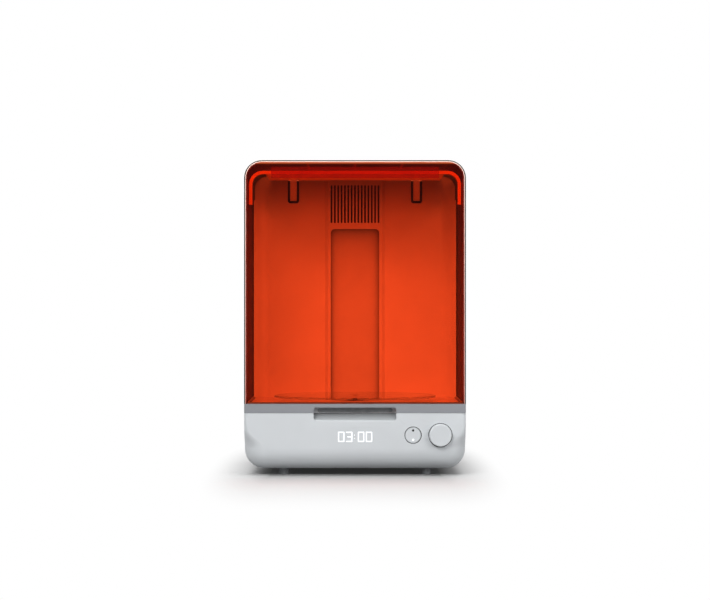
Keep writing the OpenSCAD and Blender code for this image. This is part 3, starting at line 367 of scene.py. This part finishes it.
def frostedAcrylic():
    # sand-blasted acrylic bar over the lamps: a satin red veil that what is behind shows through
    material, tree = emptyMaterial("frosted acrylic, red")
    place = addNode(tree, "TexCoord").outputs["Object"]
    frost = noiseAt(tree, place, 1.2)
    colour = blendColours(tree, noiseAt(tree, place, 25), "#E0583A", "#D65034")
    bump = addNode(tree, "Bump", {"Strength": 0.1, "Distance": 0.2 * mm}, {"Height": frost}).outputs[0]
    veil = addNode(tree, "BsdfPrincipled", {"Roughness": 0.5, "IOR": 1.49},
                   {"Base Color": colour, "Normal": bump})
    veilShare = 0.17
    through = addNode(tree, "BsdfTransparent", {"Color": linearColour("#F6C8BC")})
    shader = addNode(tree, "MixShader", {0: veilShare}, {1: through.outputs[0], 2: veil.outputs[0]})
    addNode(tree, "OutputMaterial", {}, {"Surface": shader.outputs[0]})
    return material


def litDigits(strength):
    # light-emitting segments under a thin white skin
    material, tree = emptyMaterial("lit display segments")
    place = addNode(tree, "TexCoord").outputs["Object"]
    colour = blendColours(tree, noiseAt(tree, place, 1.5), "#FFFFFF", "#F6FAFF")
    shader = addNode(tree, "BsdfPrincipled", {"Roughness": 0.4, "Emission Strength": strength},
                     {"Base Color": colour, "Emission Color": colour})
    addNode(tree, "OutputMaterial", {}, {"Surface": shader.outputs[0]})
    return material


finish = {
    "base_plastic": lightGreyAbs(), "band_plastic": midGreyAbs(), "housing_plastic": darkHousingAbs(),
    "dark_plastic": darkAbs(), "black_plastic": blackNylon(), "white_plastic": whitePolycarbonate(),
    "rubber": footRubber(), "steel": brushedSteel(), "aluminium": extrudedAluminium(),
    "brass": sinteredBrass(), "circuit_board": circuitLaminate(), "amber_acrylic": amberAcrylic(),
    "canopy_acrylic": paintedGlowAcrylic(), "diffuser_acrylic": frostedAcrylic(),
    "clear_acrylic": clearAcrylic(), "light_pipe": litDigits(0.3),
}
for part in nodes.values():
    for holder in part.material_slots:
        holder.material = finish[holder.material.name]
ownFinish = {powderCoat: ["left_hinge_arm", "right_hinge_arm"],
             wallPolycarbonate: ["rear_liner", "duct_cover"]}
for makeFinish, names in ownFinish.items():
    coat = makeFinish()
    for name in names:
        nodes[name].material_slots[0].material = coat
print("materials ready")


# Modelled pieces

def newPiece(name, bm, slot, body, stands=(), sharpAt=32, own=None):
    # a finished mesh at the origin, with its finish, its body and the solids that it stands for;
    # own is a material that only this piece has
    bmesh.ops.remove_doubles(bm, verts=bm.verts, dist=0.002 * mm)
    bmesh.ops.recalc_face_normals(bm, faces=bm.faces)
    mesh = bpy.data.meshes.new(name)
    bm.to_mesh(mesh)
    bm.free()
    mesh.shade_smooth()
    mesh.set_sharp_from_angle(angle=math.radians(sharpAt))
    mesh.materials.append(own or finish[slot])
    piece = bpy.data.objects.new(name, mesh)
    bpy.context.scene.collection.objects.link(piece)
    normals = piece.modifiers.new("evenNormals", "WEIGHTED_NORMAL")
    normals.keep_sharp = True
    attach(piece, body)
    if stands:
        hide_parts(*stands)
    return piece


def turned(section, steps=72):
    # a section of (radius, height) points in mm, spun about Z
    bm = bmesh.new()
    verts = [bm.verts.new((r * mm, 0, h * mm)) for r, h in section]
    edges = [bm.edges.new(pair) for pair in zip(verts, verts[1:])]
    bmesh.ops.spin(bm, geom=verts + edges, cent=(0, 0, 0), axis=(0, 0, 1), angle=math.tau, steps=steps,
                   use_merge=True)
    bmesh.ops.remove_doubles(bm, verts=bm.verts, dist=0.001 * mm)
    return bm


upToFront = Matrix.Rotation(math.radians(90), 3, "X")


def placed(bm, place, towardsFront=False):
    # heights run up, or out of the front face when towardsFront is set
    if towardsFront:
        bmesh.ops.rotate(bm, verts=bm.verts, cent=(0, 0, 0), matrix=upToFront)
    bmesh.ops.translate(bm, verts=bm.verts, vec=[v * mm for v in place])
    return bm


def repeated(bm, steps):
    # copies of what is there, each moved by one of the steps in mm
    first = bm.verts[:] + bm.edges[:] + bm.faces[:]
    for step in steps:
        copy = bmesh.ops.duplicate(bm, geom=first)["geom"]
        moved = [g for g in copy if isinstance(g, bmesh.types.BMVert)]
        bmesh.ops.translate(bm, verts=moved, vec=[v * mm for v in step])
    return bm


# sections are (radius, height) points, heights out of the front face
dial = {"x": 104.7, "z": 50, "skirtY": -130.4, "r": 14, "proud": 8.6, "edge": 1.4, "draft": 0.3, "dish": 0.25,
        "hollow": [(-1.4, 0), (-1.7, 5)], "hub": [(5.4, 5.2), (5.2, 0.6), (3.3, 0.4)],
        "shaftR": 3.01, "shaftZ": (0.7, 5.7), "shadeRingY": -129.85,
        "shadeRing": [(0.06, 0), (0.06, 0.7), (0.2, 0.85), (0.6, 0.85), (0.76, 0.7), (0.76, 0), (0.06, 0)]}


def makeDial():
    r, top, edge, dish = dial["r"], dial["proud"], dial["edge"], dial["dish"]
    turns = [math.radians(a) for a in range(0, 91, 15)]
    rimR, rimZ = r - dial["draft"] - edge, top - edge
    section = [(0, top - dish), (5, top - 0.9 * dish), (9.5, top - 0.3 * dish)]
    section += [(rimR + edge * math.sin(a), rimZ + edge * math.cos(a)) for a in turns]
    section += [(r, 0.4), (r - 0.25, 0.05)] + [(r + outwards, z) for outwards, z in dial["hollow"]]
    section += dial["hub"]
    low, high = dial["shaftZ"]
    section += [(dial["shaftR"], low), (dial["shaftR"], high), (0, high)]
    newPiece("dial_knob", placed(turned(section, 96), (dial["x"], dial["skirtY"], dial["z"]), True),
             "base_plastic", "dial", ["dial"])
    # a black ring lies in the pocket round the knob: painted shade, it draws the shadow in the gap as a dark
    # line
    ring = turned([(r + outwards, z) for outwards, z in dial["shadeRing"]], 96)
    newPiece("dial_shade_ring", placed(ring, (dial["x"], dial["shadeRingY"], dial["z"]), True), "black_plastic",
             "unit")


button = {"x": 71.2, "z": 50, "faceY": -130.8, "r": 9.6, "flange": 1.6, "flangeZ": (-3.0, -4.5), "stem": 8.7,
          "crown": [(0, -0.12), (4, -0.1), (7.5, -0.04), (9.1, 0)], "openR": 9.95, "lip": 0.62, "wallY": -131}


def makeModeButton():
    r, stem = button["r"], button["stem"]
    high, low = button["flangeZ"]
    cap = button["crown"] + [(9.42, -0.08), (r, -0.35), (r, high), (r + button["flange"], high),
                             (r + button["flange"], low), (r - 1.2, low - 0.1), (2.0, low - 0.3),
                             (2.0, 0.3 - stem), (1.7, -stem), (0, -stem)]
    newPiece("mode_button_cap", placed(turned(cap, 96), (button["x"], button["faceY"], button["z"]), True),
             "base_plastic", "mode_button", ["mode_button"])
    # a thin black ring round the button's hole: painted shade, it stands for the shadow in the gap round the
    # button
    inner, outer = button["openR"], button["openR"] + button["lip"]
    lip = turned([(inner, -0.6), (inner, 0.02), (inner + 0.14, 0.14), (outer - 0.16, 0.14), (outer, 0.02),
                  (outer, -0.6), (inner, -0.6)], 96)
    newPiece("mode_button_lip", placed(lip, (button["x"], button["wallY"], button["z"]), True),
             "black_plastic", "unit")


# sole with two ribs, tapered side, and the barbed stud that snaps through the floor
foot = {"x": 88, "front": -98, "rear": 106,
        "sole": [(0, 0.4), (2.2, 0.4), (2.5, 0), (3.6, 0), (3.8, 0.4), (4.4, 0.4), (4.6, 0), (5.5, 0)],
        "side": [(6.2, 0.3), (6.5, 0.9), (7.3, 7.6), (7.1, 7.98)],
        "stud": [(2.5, 8), (2.5, 11), (3.5, 11.1), (3.3, 11.7), (2.2, 14), (0, 14)]}


def makeFeet():
    x, front, rear = foot["x"], foot["front"], foot["rear"]
    bm = placed(turned(foot["sole"] + foot["side"] + foot["stud"], 48), (-x, front, 0))
    repeated(bm, [(2 * x, 0, 0), (0, rear - front, 0), (2 * x, rear - front, 0)])
    newPiece("foot_pads", bm, "rubber", "unit", ["feet"])


table = {"y": -21.8, "z": 92.2, "r": 103, "thick": 2.8, "boreR": 3.2,
         "groove": {"inFrom": 5.2, "wide": 1.6, "slope": 0.3, "deep": 0.25},
         "seat": {"r": 6.5, "slope": 0.3, "deep": 0.6}}


def makeTurntable():
    # a polished disc with a fire-polished rim, a shallow drip groove inside it and a stepped bore
    r, t, bore, groove, seat = table["r"], table["thick"], table["boreR"], table["groove"], table["seat"]
    turns = [math.radians(a) for a in range(0, 181, 15)]
    section = [(bore, 0)] + [(r - t / 2 + t / 2 * math.sin(a), t / 2 - t / 2 * math.cos(a)) for a in turns]
    outer, inner = r - groove["inFrom"], r - groove["inFrom"] - groove["wide"]
    section += [(outer, t), (outer - groove["slope"], t - groove["deep"]),
                (inner + groove["slope"], t - groove["deep"]), (inner, t)]
    seatZ = t - seat["deep"]
    section += [(seat["r"], t), (seat["r"] - seat["slope"], seatZ), (bore, seatZ), (bore, 0)]
    newPiece("turntable_disc", placed(turned(section, 144), (0, table["y"], table["z"])), "clear_acrylic",
             "turntable", ["turntable"])


digits = {"text": "03:00", "left": -20.8, "bottom": 41.6, "wide": 7.9, "high": 12.6, "stroke": 1.4,
          "round": 0.8, "pitch": 9.75, "colonPitch": 4.8, "frontY": -131.0, "thick": 0.06, "dotsX": 0.7,
          "dotsZ": (4.4, 8.4)}
# rows that are lit in the left, middle and right column of a digit, counted from its foot
litRows = {"0": [(0, 1, 2, 3, 4), (0, 4), (0, 1, 2, 3, 4)], "3": [(0, 4), (0, 2, 4), (0, 1, 2, 3, 4)]}


def addDigit(bm, mark, x):
    # a grid of three by five cells takes the widths of the strokes, then loses the cells between them
    w, h, t = digits["wide"], digits["high"], digits["stroke"]
    columns = [0, t, w - t, w]
    rows = [0, t, (h - t) / 2, (h + t) / 2, h - t, h]
    made = bmesh.ops.create_grid(bm, x_segments=3, y_segments=5, size=1)["verts"]
    faces = {f for v in made for f in v.link_faces}
    for v in made:
        column, row = round((v.co.x + 1) * 1.5), round((v.co.y + 1) * 2.5)
        v.co = ((x + columns[column]) * mm, digits["frontY"] * mm, (digits["bottom"] + rows[row]) * mm)
    lost = []
    for f in faces:
        centre = f.calc_center_median() / mm
        column = 0 if centre.x < x + t else 2 if centre.x > x + w - t else 1
        row = sum(centre.z - digits["bottom"] > edge for edge in rows[1:-1])
        if row not in litRows[mark][column]:
            lost.append(f)
    bmesh.ops.delete(bm, geom=lost, context="FACES")


def makeDigits():
    bm = bmesh.new()
    x = digits["left"]
    for mark in digits["text"]:
        if mark == ":":
            for z in digits["dotsZ"]:
                half = digits["stroke"] / 2 * mm
                dot = bmesh.ops.create_grid(bm, x_segments=1, y_segments=1, size=half)["verts"]
                bmesh.ops.rotate(bm, verts=dot, cent=(0, 0, 0), matrix=upToFront)
                place = (x + digits["dotsX"], digits["frontY"], digits["bottom"] + z)
                bmesh.ops.translate(bm, verts=dot, vec=[v * mm for v in place])
            x += digits["colonPitch"]
        else:
            addDigit(bm, mark, x)
            x += digits["pitch"]
    bmesh.ops.remove_doubles(bm, verts=bm.verts, dist=0.001 * mm)
    corners = [v for v in bm.verts if len(v.link_faces) == 1]
    bmesh.ops.bevel(bm, geom=corners, offset=digits["round"] * mm, segments=4, profile=0.5,
                    affect="VERTICES", material=-1)
    bmesh.ops.recalc_face_normals(bm, faces=bm.faces)
    skin = bmesh.ops.extrude_face_region(bm, geom=bm.faces[:])["geom"]
    bmesh.ops.translate(bm, verts=[g for g in skin if isinstance(g, bmesh.types.BMVert)],
                        vec=(0, -digits["thick"] * mm, 0))
    newPiece("display_digits", bm, "light_pipe", "unit")


base = {"front": -131, "rear": 139, "halfW": 136, "bottom": 8, "ball": 24, "edge": 5, "blend": 16,
        "eased": 26, "steps": 11}


def cornerRadius(height, blend):
    # plan radius of the pan's upright corners: the ball's below, fading to the edge's over blend mm
    t = min(1, max(0, (height - base["ball"]) / blend))
    return base["edge"] + (base["ball"] - base["edge"]) * (1 + math.cos(math.pi * t)) / 2


def makeBase():
    # a copy of the pan whose ball corners run out into the upright edges over a longer way
    bm = bmesh.new()
    bm.from_mesh(nodes["base_shell"].data)
    bmesh.ops.remove_doubles(bm, verts=bm.verts, dist=0.002 * mm)
    low = base["bottom"] + base["ball"]
    for step in range(1, base["steps"] + 1):
        height = (low + base["eased"] * step / base["steps"]) * mm
        bmesh.ops.bisect_plane(bm, geom=bm.verts[:] + bm.edges[:] + bm.faces[:], dist=0.001 * mm,
                               plane_co=(0, 0, height), plane_no=(0, 0, 1))
    for v in bm.verts:
        x, y, z = v.co / mm
        height = z - base["bottom"]
        if not base["ball"] < height < base["ball"] + base["eased"] + 0.01:
            continue
        old, new = cornerRadius(height, base["blend"]), cornerRadius(height, base["eased"])
        side, end = base["halfW"] - abs(x), y - base["front"] if y < 0 else base["rear"] - y
        if end < 0.02 and old < side < new or side < 0.02 and old < end < new:
            side, end = (new, end) if end < side else (side, new)
        elif side < old + 0.03 and end < old + 0.03:
            turn = math.atan2(old - end, old - side)
            side += (new - old) * (1 - math.cos(turn))
            end += (new - old) * (1 - math.sin(turn))
        v.co = Vector((math.copysign(base["halfW"] - side, x),
                       base["front"] + end if y < 0 else base["rear"] - end, z)) * mm
    newPiece("base_pan", bm, "base_plastic", "unit", ["base_shell"], 28, basePanAbs())


def plate(look):
    # an upright sheet with rounded corners and a softened front rim
    bm = bmesh.new()
    bmesh.ops.create_cube(bm, size=1)
    (z0, z1), (y0, y1) = look["z"], look["y"]
    bmesh.ops.scale(bm, verts=bm.verts, vec=(2 * look["x"] * mm, (y1 - y0) * mm, (z1 - z0) * mm))
    bmesh.ops.translate(bm, verts=bm.verts, vec=(0, (y0 + y1) / 2 * mm, (z0 + z1) / 2 * mm))
    upright = [e for e in bm.edges if abs(e.verts[0].co.y - e.verts[1].co.y) > 0.1 * mm]
    bmesh.ops.bevel(bm, geom=upright, offset=look["r"] * mm, segments=8, profile=0.5, affect="EDGES",
                    material=-1)
    rim = [e for e in bm.edges if max(v.co.y for v in e.verts) < (y0 + 0.01) * mm]
    bmesh.ops.bevel(bm, geom=rim, offset=look["edge"] * mm, segments=2, profile=0.5, affect="EDGES",
                    material=-1)
    return bm


recessShadePad = {"x": 46, "z": (77.35, 83.05), "y": (-121.35, -120.9), "r": 2.4, "edge": 0.15}


def makePlates():
    # a grey rubber pad on the hood's rail, in the upper half of the finger recess: painted shade, it darkens
    # the recess where its shadow falls
    newPiece("recess_shade_pad", plate(recessShadePad), "rubber", "hood")
    # the insert that lines the flat recess of the air duct, with painted shadow along its rim
    newPiece("duct_insert", plate(insert), "white_plastic", "unit", own=insertAbs())


notchShade = {"x": 81, "outer": (7.4, 342.9, 3.4), "inner": (4.6, 345.8, 1.1), "top": 372, "y": (83.3, 84.0),
        "edge": 0.2}


def makeNotchShadeTrims():
    # black strips along the notches that the hinge arms pass through, standing in for the shadow in the gaps
    # round the arms;
    # each line is half width, foot, corner
    bm = bmesh.new()
    y0, y1 = notchShade["y"]
    for half, low, r in (notchShade["outer"], notchShade["inner"]):
        turn = [math.radians(a) for a in range(0, 91, 15)]
        arc = [(-half + r - r * math.cos(a), low + r - r * math.sin(a)) for a in turn]
        line = [(-half, notchShade["top"])] + arc
        line += [(-x, z) for x, z in reversed(line)]
        verts = [bm.verts.new((x * mm, y1 * mm, z * mm)) for x, z in line]
        for pair in zip(verts, verts[1:]):
            bm.edges.new(pair)
    bmesh.ops.bridge_loops(bm, edges=bm.edges[:])
    skin = bmesh.ops.extrude_face_region(bm, geom=bm.faces[:])["geom"]
    bmesh.ops.translate(bm, verts=[g for g in skin if isinstance(g, bmesh.types.BMVert)],
                        vec=(0, (y0 - y1) * mm, 0))
    bmesh.ops.recalc_face_normals(bm, faces=bm.faces)
    rim = [e for e in bm.edges if max(v.co.y for v in e.verts) < (y0 + 0.01) * mm and len(e.link_faces) == 2
           and e.calc_face_angle() > 1]
    bmesh.ops.bevel(bm, geom=rim, offset=notchShade["edge"] * mm, segments=2, profile=0.5, affect="EDGES",
                    material=-1)
    bmesh.ops.translate(bm, verts=bm.verts, vec=(-notchShade["x"] * mm, 0, 0))
    repeated(bm, [(2 * notchShade["x"], 0, 0)])
    newPiece("notch_shade_trims", bm, "rubber", "unit", own=finish["black_plastic"])


shield = {"x": 131.6, "y": (-66.5, 64), "top": 377.9, "r": 17.3, "low": 346, "thick": 0.8}


def makeLampShield():
    # the black light shield over the canopy: a sheet bent down at both sides
    bm = bmesh.new()
    y0, y1 = shield["y"]
    bmesh.ops.create_grid(bm, x_segments=1, y_segments=1, size=0.5)
    bmesh.ops.scale(bm, verts=bm.verts, vec=(2 * shield["x"] * mm, (y1 - y0) * mm, 1))
    bmesh.ops.translate(bm, verts=bm.verts, vec=(0, (y0 + y1) / 2 * mm, shield["top"] * mm))
    sides = [e for e in bm.edges if abs(e.verts[0].co.x - e.verts[1].co.x) < mm]
    drop = bmesh.ops.extrude_edge_only(bm, edges=sides)["geom"]
    bmesh.ops.translate(bm, verts=[g for g in drop if isinstance(g, bmesh.types.BMVert)],
                        vec=(0, 0, (shield["low"] - shield["top"]) * mm))
    bends = [e for e in bm.edges if len(e.link_faces) == 2]
    bmesh.ops.bevel(bm, geom=bends, offset=shield["r"] * mm, segments=10, profile=0.5, affect="EDGES",
                    material=-1)
    bmesh.ops.solidify(bm, geom=bm.faces[:], thickness=shield["thick"] * mm)
    newPiece("lamp_shield", bm, "black_plastic", "unit")


makeBase()
makeLampShield()
makePlates()
makeNotchShadeTrims()
makeDial()
makeModeButton()
makeFeet()
makeTurntable()
makeDigits()
print("modelled pieces ready")


# Studio

studio = {"cameraBack": 3.031, "cameraHeight": 0.2156, "lens": 120, "floorSize": 24, "farSide": 60}
# what the floor shows: painted shadow, a darker paint that hugs the footprint and ends sooner at the sides,
# deepens the lamps' real shadow, then the floor fades to white
floorLook = {"footprint": (0.105, 0.131, 0), "sideways": 6, "shadeTo": 0.14, "shadeCurve": 0.4,
             "clearFrom": 0.08, "clearTo": 0.5, "driftMm": 400, "near": ("#959595", "#929292"),
             "coat": ("#C8C8C8", "#C5C5C5"), "unseen": ("#9A9A9A", "#969696"), "lift": 0.02}
# the dark room behind the camera, as glossy faces see it
darkRoom = {"floorY": (-1.3, -0.5), "skyY": (-0.8, -0.2), "strength": 0.06, "ambient": 0.42}


def makeCamera():
    data = bpy.data.cameras.new("studioCamera")
    data.lens = studio["lens"]
    data.sensor_width = 36
    data.clip_end = studio["farSide"]
    camera = bpy.data.objects.new("studioCamera", data)
    camera.location = (0, -studio["cameraBack"], studio["cameraHeight"])
    camera.rotation_euler = (math.radians(90), 0, 0)
    bpy.context.scene.collection.objects.link(camera)
    bpy.context.scene.camera = camera


lamps = {
    "keySoftbox": {"place": (-0.9, -2.4, 1.7), "size": (1.4, 1.2), "power": 47},
    "topSoftbox": {"place": (0, 0.0, 2.4), "size": (2.0, 2.0), "power": 40},
    "rightFill": {"place": (1.7, -2.0, 1.0), "size": (1.0, 1.4), "power": 20},
    # light that has come in through the amber panels: it fills the chamber and falls on its floor
    "chamberGlow": {"place": (0, -0.06, 0.19), "size": (0.16, 0.14), "power": 0.072, "aim": (0, 0.1, 0.185),
                    "colour": "#F88A5D"},
    "floorGlow": {"place": (0, -0.075, 0.18), "size": (0.22, 0.1), "power": 0.036, "aim": (0, -0.085, 0),
                  "colour": "#F88A5D"},
}


def makeLamp(name, look):
    data = bpy.data.lights.new(name, "AREA")
    data.color = linearColour(look.get("colour", "#FFFFFF"))[:3]
    data.shape = "RECTANGLE"
    data.size, data.size_y = look["size"]
    data.energy = look["power"]
    lamp = bpy.data.objects.new(name, data)
    lamp.location = look["place"]
    towards = Vector(look.get("aim", (0, 0, 0.2))) - Vector(look["place"])
    lamp.rotation_euler = towards.to_track_quat("-Z", "Y").to_euler()
    bpy.context.scene.collection.objects.link(lamp)


def makeFloor():
    bm = bmesh.new()
    bmesh.ops.create_grid(bm, x_segments=8, y_segments=8, size=studio["floorSize"] / 2)
    mesh = bpy.data.meshes.new("studioFloor")
    bm.to_mesh(mesh)
    bm.free()
    floor = bpy.data.objects.new("studioFloor", mesh)
    bpy.context.scene.collection.objects.link(floor)
    material, tree = emptyMaterial("studio floor, painted shadow")
    place = addNode(tree, "TexCoord").outputs["Object"]
    away = addNode(tree, "VectorMath", {"operation": "ABSOLUTE"}, {0: place}).outputs[0]
    for operation, by in (("SUBTRACT", floorLook["footprint"]), ("MAXIMUM", (0, 0, 0)),
                          ("MULTIPLY", (floorLook["sideways"], 1, 0))):
        away = addNode(tree, "VectorMath", {"operation": operation, 1: by}, {0: away}).outputs[0]
    away = addNode(tree, "VectorMath", {"operation": "LENGTH"}, {0: away}).outputs["Value"]
    fade = addNode(tree, "MapRange", {"interpolation_type": "SMOOTHSTEP", "From Min": floorLook["clearFrom"],
                   "From Max": floorLook["clearTo"]}, {"Value": away}).outputs[0]
    path = addNode(tree, "LightPath").outputs
    seen = addNode(tree, "Math", {"operation": "ADD", "use_clamp": True}, {0: path["Is Camera Ray"],
                   1: path["Is Glossy Ray"]}).outputs[0]
    seen = addNode(tree, "Math", {"operation": "ADD", "use_clamp": True}, {0: seen,
                   1: path["Is Transmission Ray"]}).outputs[0]
    white = addNode(tree, "Emission", {"Color": (1, 1, 1, 1), "Strength": 1})
    paint = noiseAt(tree, place, floorLook["driftMm"])
    # painted shadow: the floor's paint turns darker towards the footprint
    paintedShade = addNode(tree, "MapRange", {"From Max": floorLook["shadeTo"]}, {"Value": away}).outputs[0]
    paintedShade = addNode(tree, "Math", {"operation": "POWER", 1: floorLook["shadeCurve"]}, {0: paintedShade}).outputs[0]
    paintedShadowColour, farPaint, dimPaint = [blendColours(tree, paint, *floorLook[zone])
                                     for zone in ("near", "coat", "unseen")]
    painted = addNode(tree, "Mix", {"data_type": "RGBA"}, {0: paintedShade, 6: paintedShadowColour, 7: farPaint}).outputs[2]
    coat = addNode(tree, "BsdfDiffuse", {}, {"Color": painted})
    dim = addNode(tree, "BsdfDiffuse", {}, {"Color": dimPaint})
    lift = addNode(tree, "Emission", {"Color": (1, 1, 1, 1), "Strength": floorLook["lift"]})
    near = addNode(tree, "AddShader", {}, {0: coat.outputs[0], 1: lift.outputs[0]})
    shown = addNode(tree, "MixShader", {}, {0: fade, 1: near.outputs[0], 2: white.outputs[0]})
    # in front the floor lies in the dark room, so the hood's front shows no haze
    across = addNode(tree, "SeparateXYZ", {}, {"Vector": place}).outputs["Y"]
    far, close = darkRoom["floorY"]
    room = addNode(tree, "MapRange", {"interpolation_type": "SMOOTHSTEP", "From Min": far, "From Max": close,
                   "To Min": 1, "To Max": 0}, {"Value": across}).outputs[0]
    room = addNode(tree, "Math", {"operation": "MULTIPLY"}, {0: room, 1: path["Is Glossy Ray"]}).outputs[0]
    dark = addNode(tree, "Emission", {"Color": (1, 1, 1, 1), "Strength": darkRoom["strength"]})
    shown = addNode(tree, "MixShader", {}, {0: room, 1: shown.outputs[0], 2: dark.outputs[0]})
    both = addNode(tree, "MixShader", {}, {0: seen, 1: dim.outputs[0], 2: shown.outputs[0]})
    addNode(tree, "OutputMaterial", {}, {"Surface": both.outputs[0]})
    mesh.materials.append(material)


def makeWorld():
    world = bpy.data.worlds.new("studioWorld")
    bpy.context.scene.world = world
    world.use_nodes = True
    tree = world.node_tree
    tree.nodes.clear()
    # white where it is seen; the room behind the camera stays dark in the mirror of the acrylic
    path = addNode(tree, "LightPath").outputs
    towards = addNode(tree, "TexCoord").outputs["Generated"]
    across = addNode(tree, "SeparateXYZ", {}, {"Vector": towards}).outputs["Y"]
    far, close = darkRoom["skyY"]
    room = addNode(tree, "MapRange", {"interpolation_type": "SMOOTHSTEP", "From Min": far, "From Max": close,
                   "To Min": darkRoom["strength"], "To Max": 1}, {"Value": across}).outputs[0]
    ambient = addNode(tree, "Background", {"Color": (1, 1, 1, 1), "Strength": darkRoom["ambient"]})
    mirrored = addNode(tree, "Background", {"Color": (1, 1, 1, 1)}, {"Strength": room})
    white = addNode(tree, "Background", {"Color": (1, 1, 1, 1), "Strength": 1})
    seen = addNode(tree, "Math", {"operation": "ADD", "use_clamp": True}, {0: path["Is Camera Ray"],
                   1: path["Is Transmission Ray"]}).outputs[0]
    soft = addNode(tree, "MixShader", {}, {0: path["Is Glossy Ray"], 1: ambient.outputs[0],
                   2: mirrored.outputs[0]})
    both = addNode(tree, "MixShader", {}, {0: seen, 1: soft.outputs[0], 2: white.outputs[0]})
    addNode(tree, "OutputWorld", {}, {"Surface": both.outputs[0]})


makeCamera()
makeFloor()
makeWorld()
for name, look in lamps.items():
    makeLamp(name, look)
bpy.context.scene.view_settings.view_transform = "Standard"
print("studio ready")
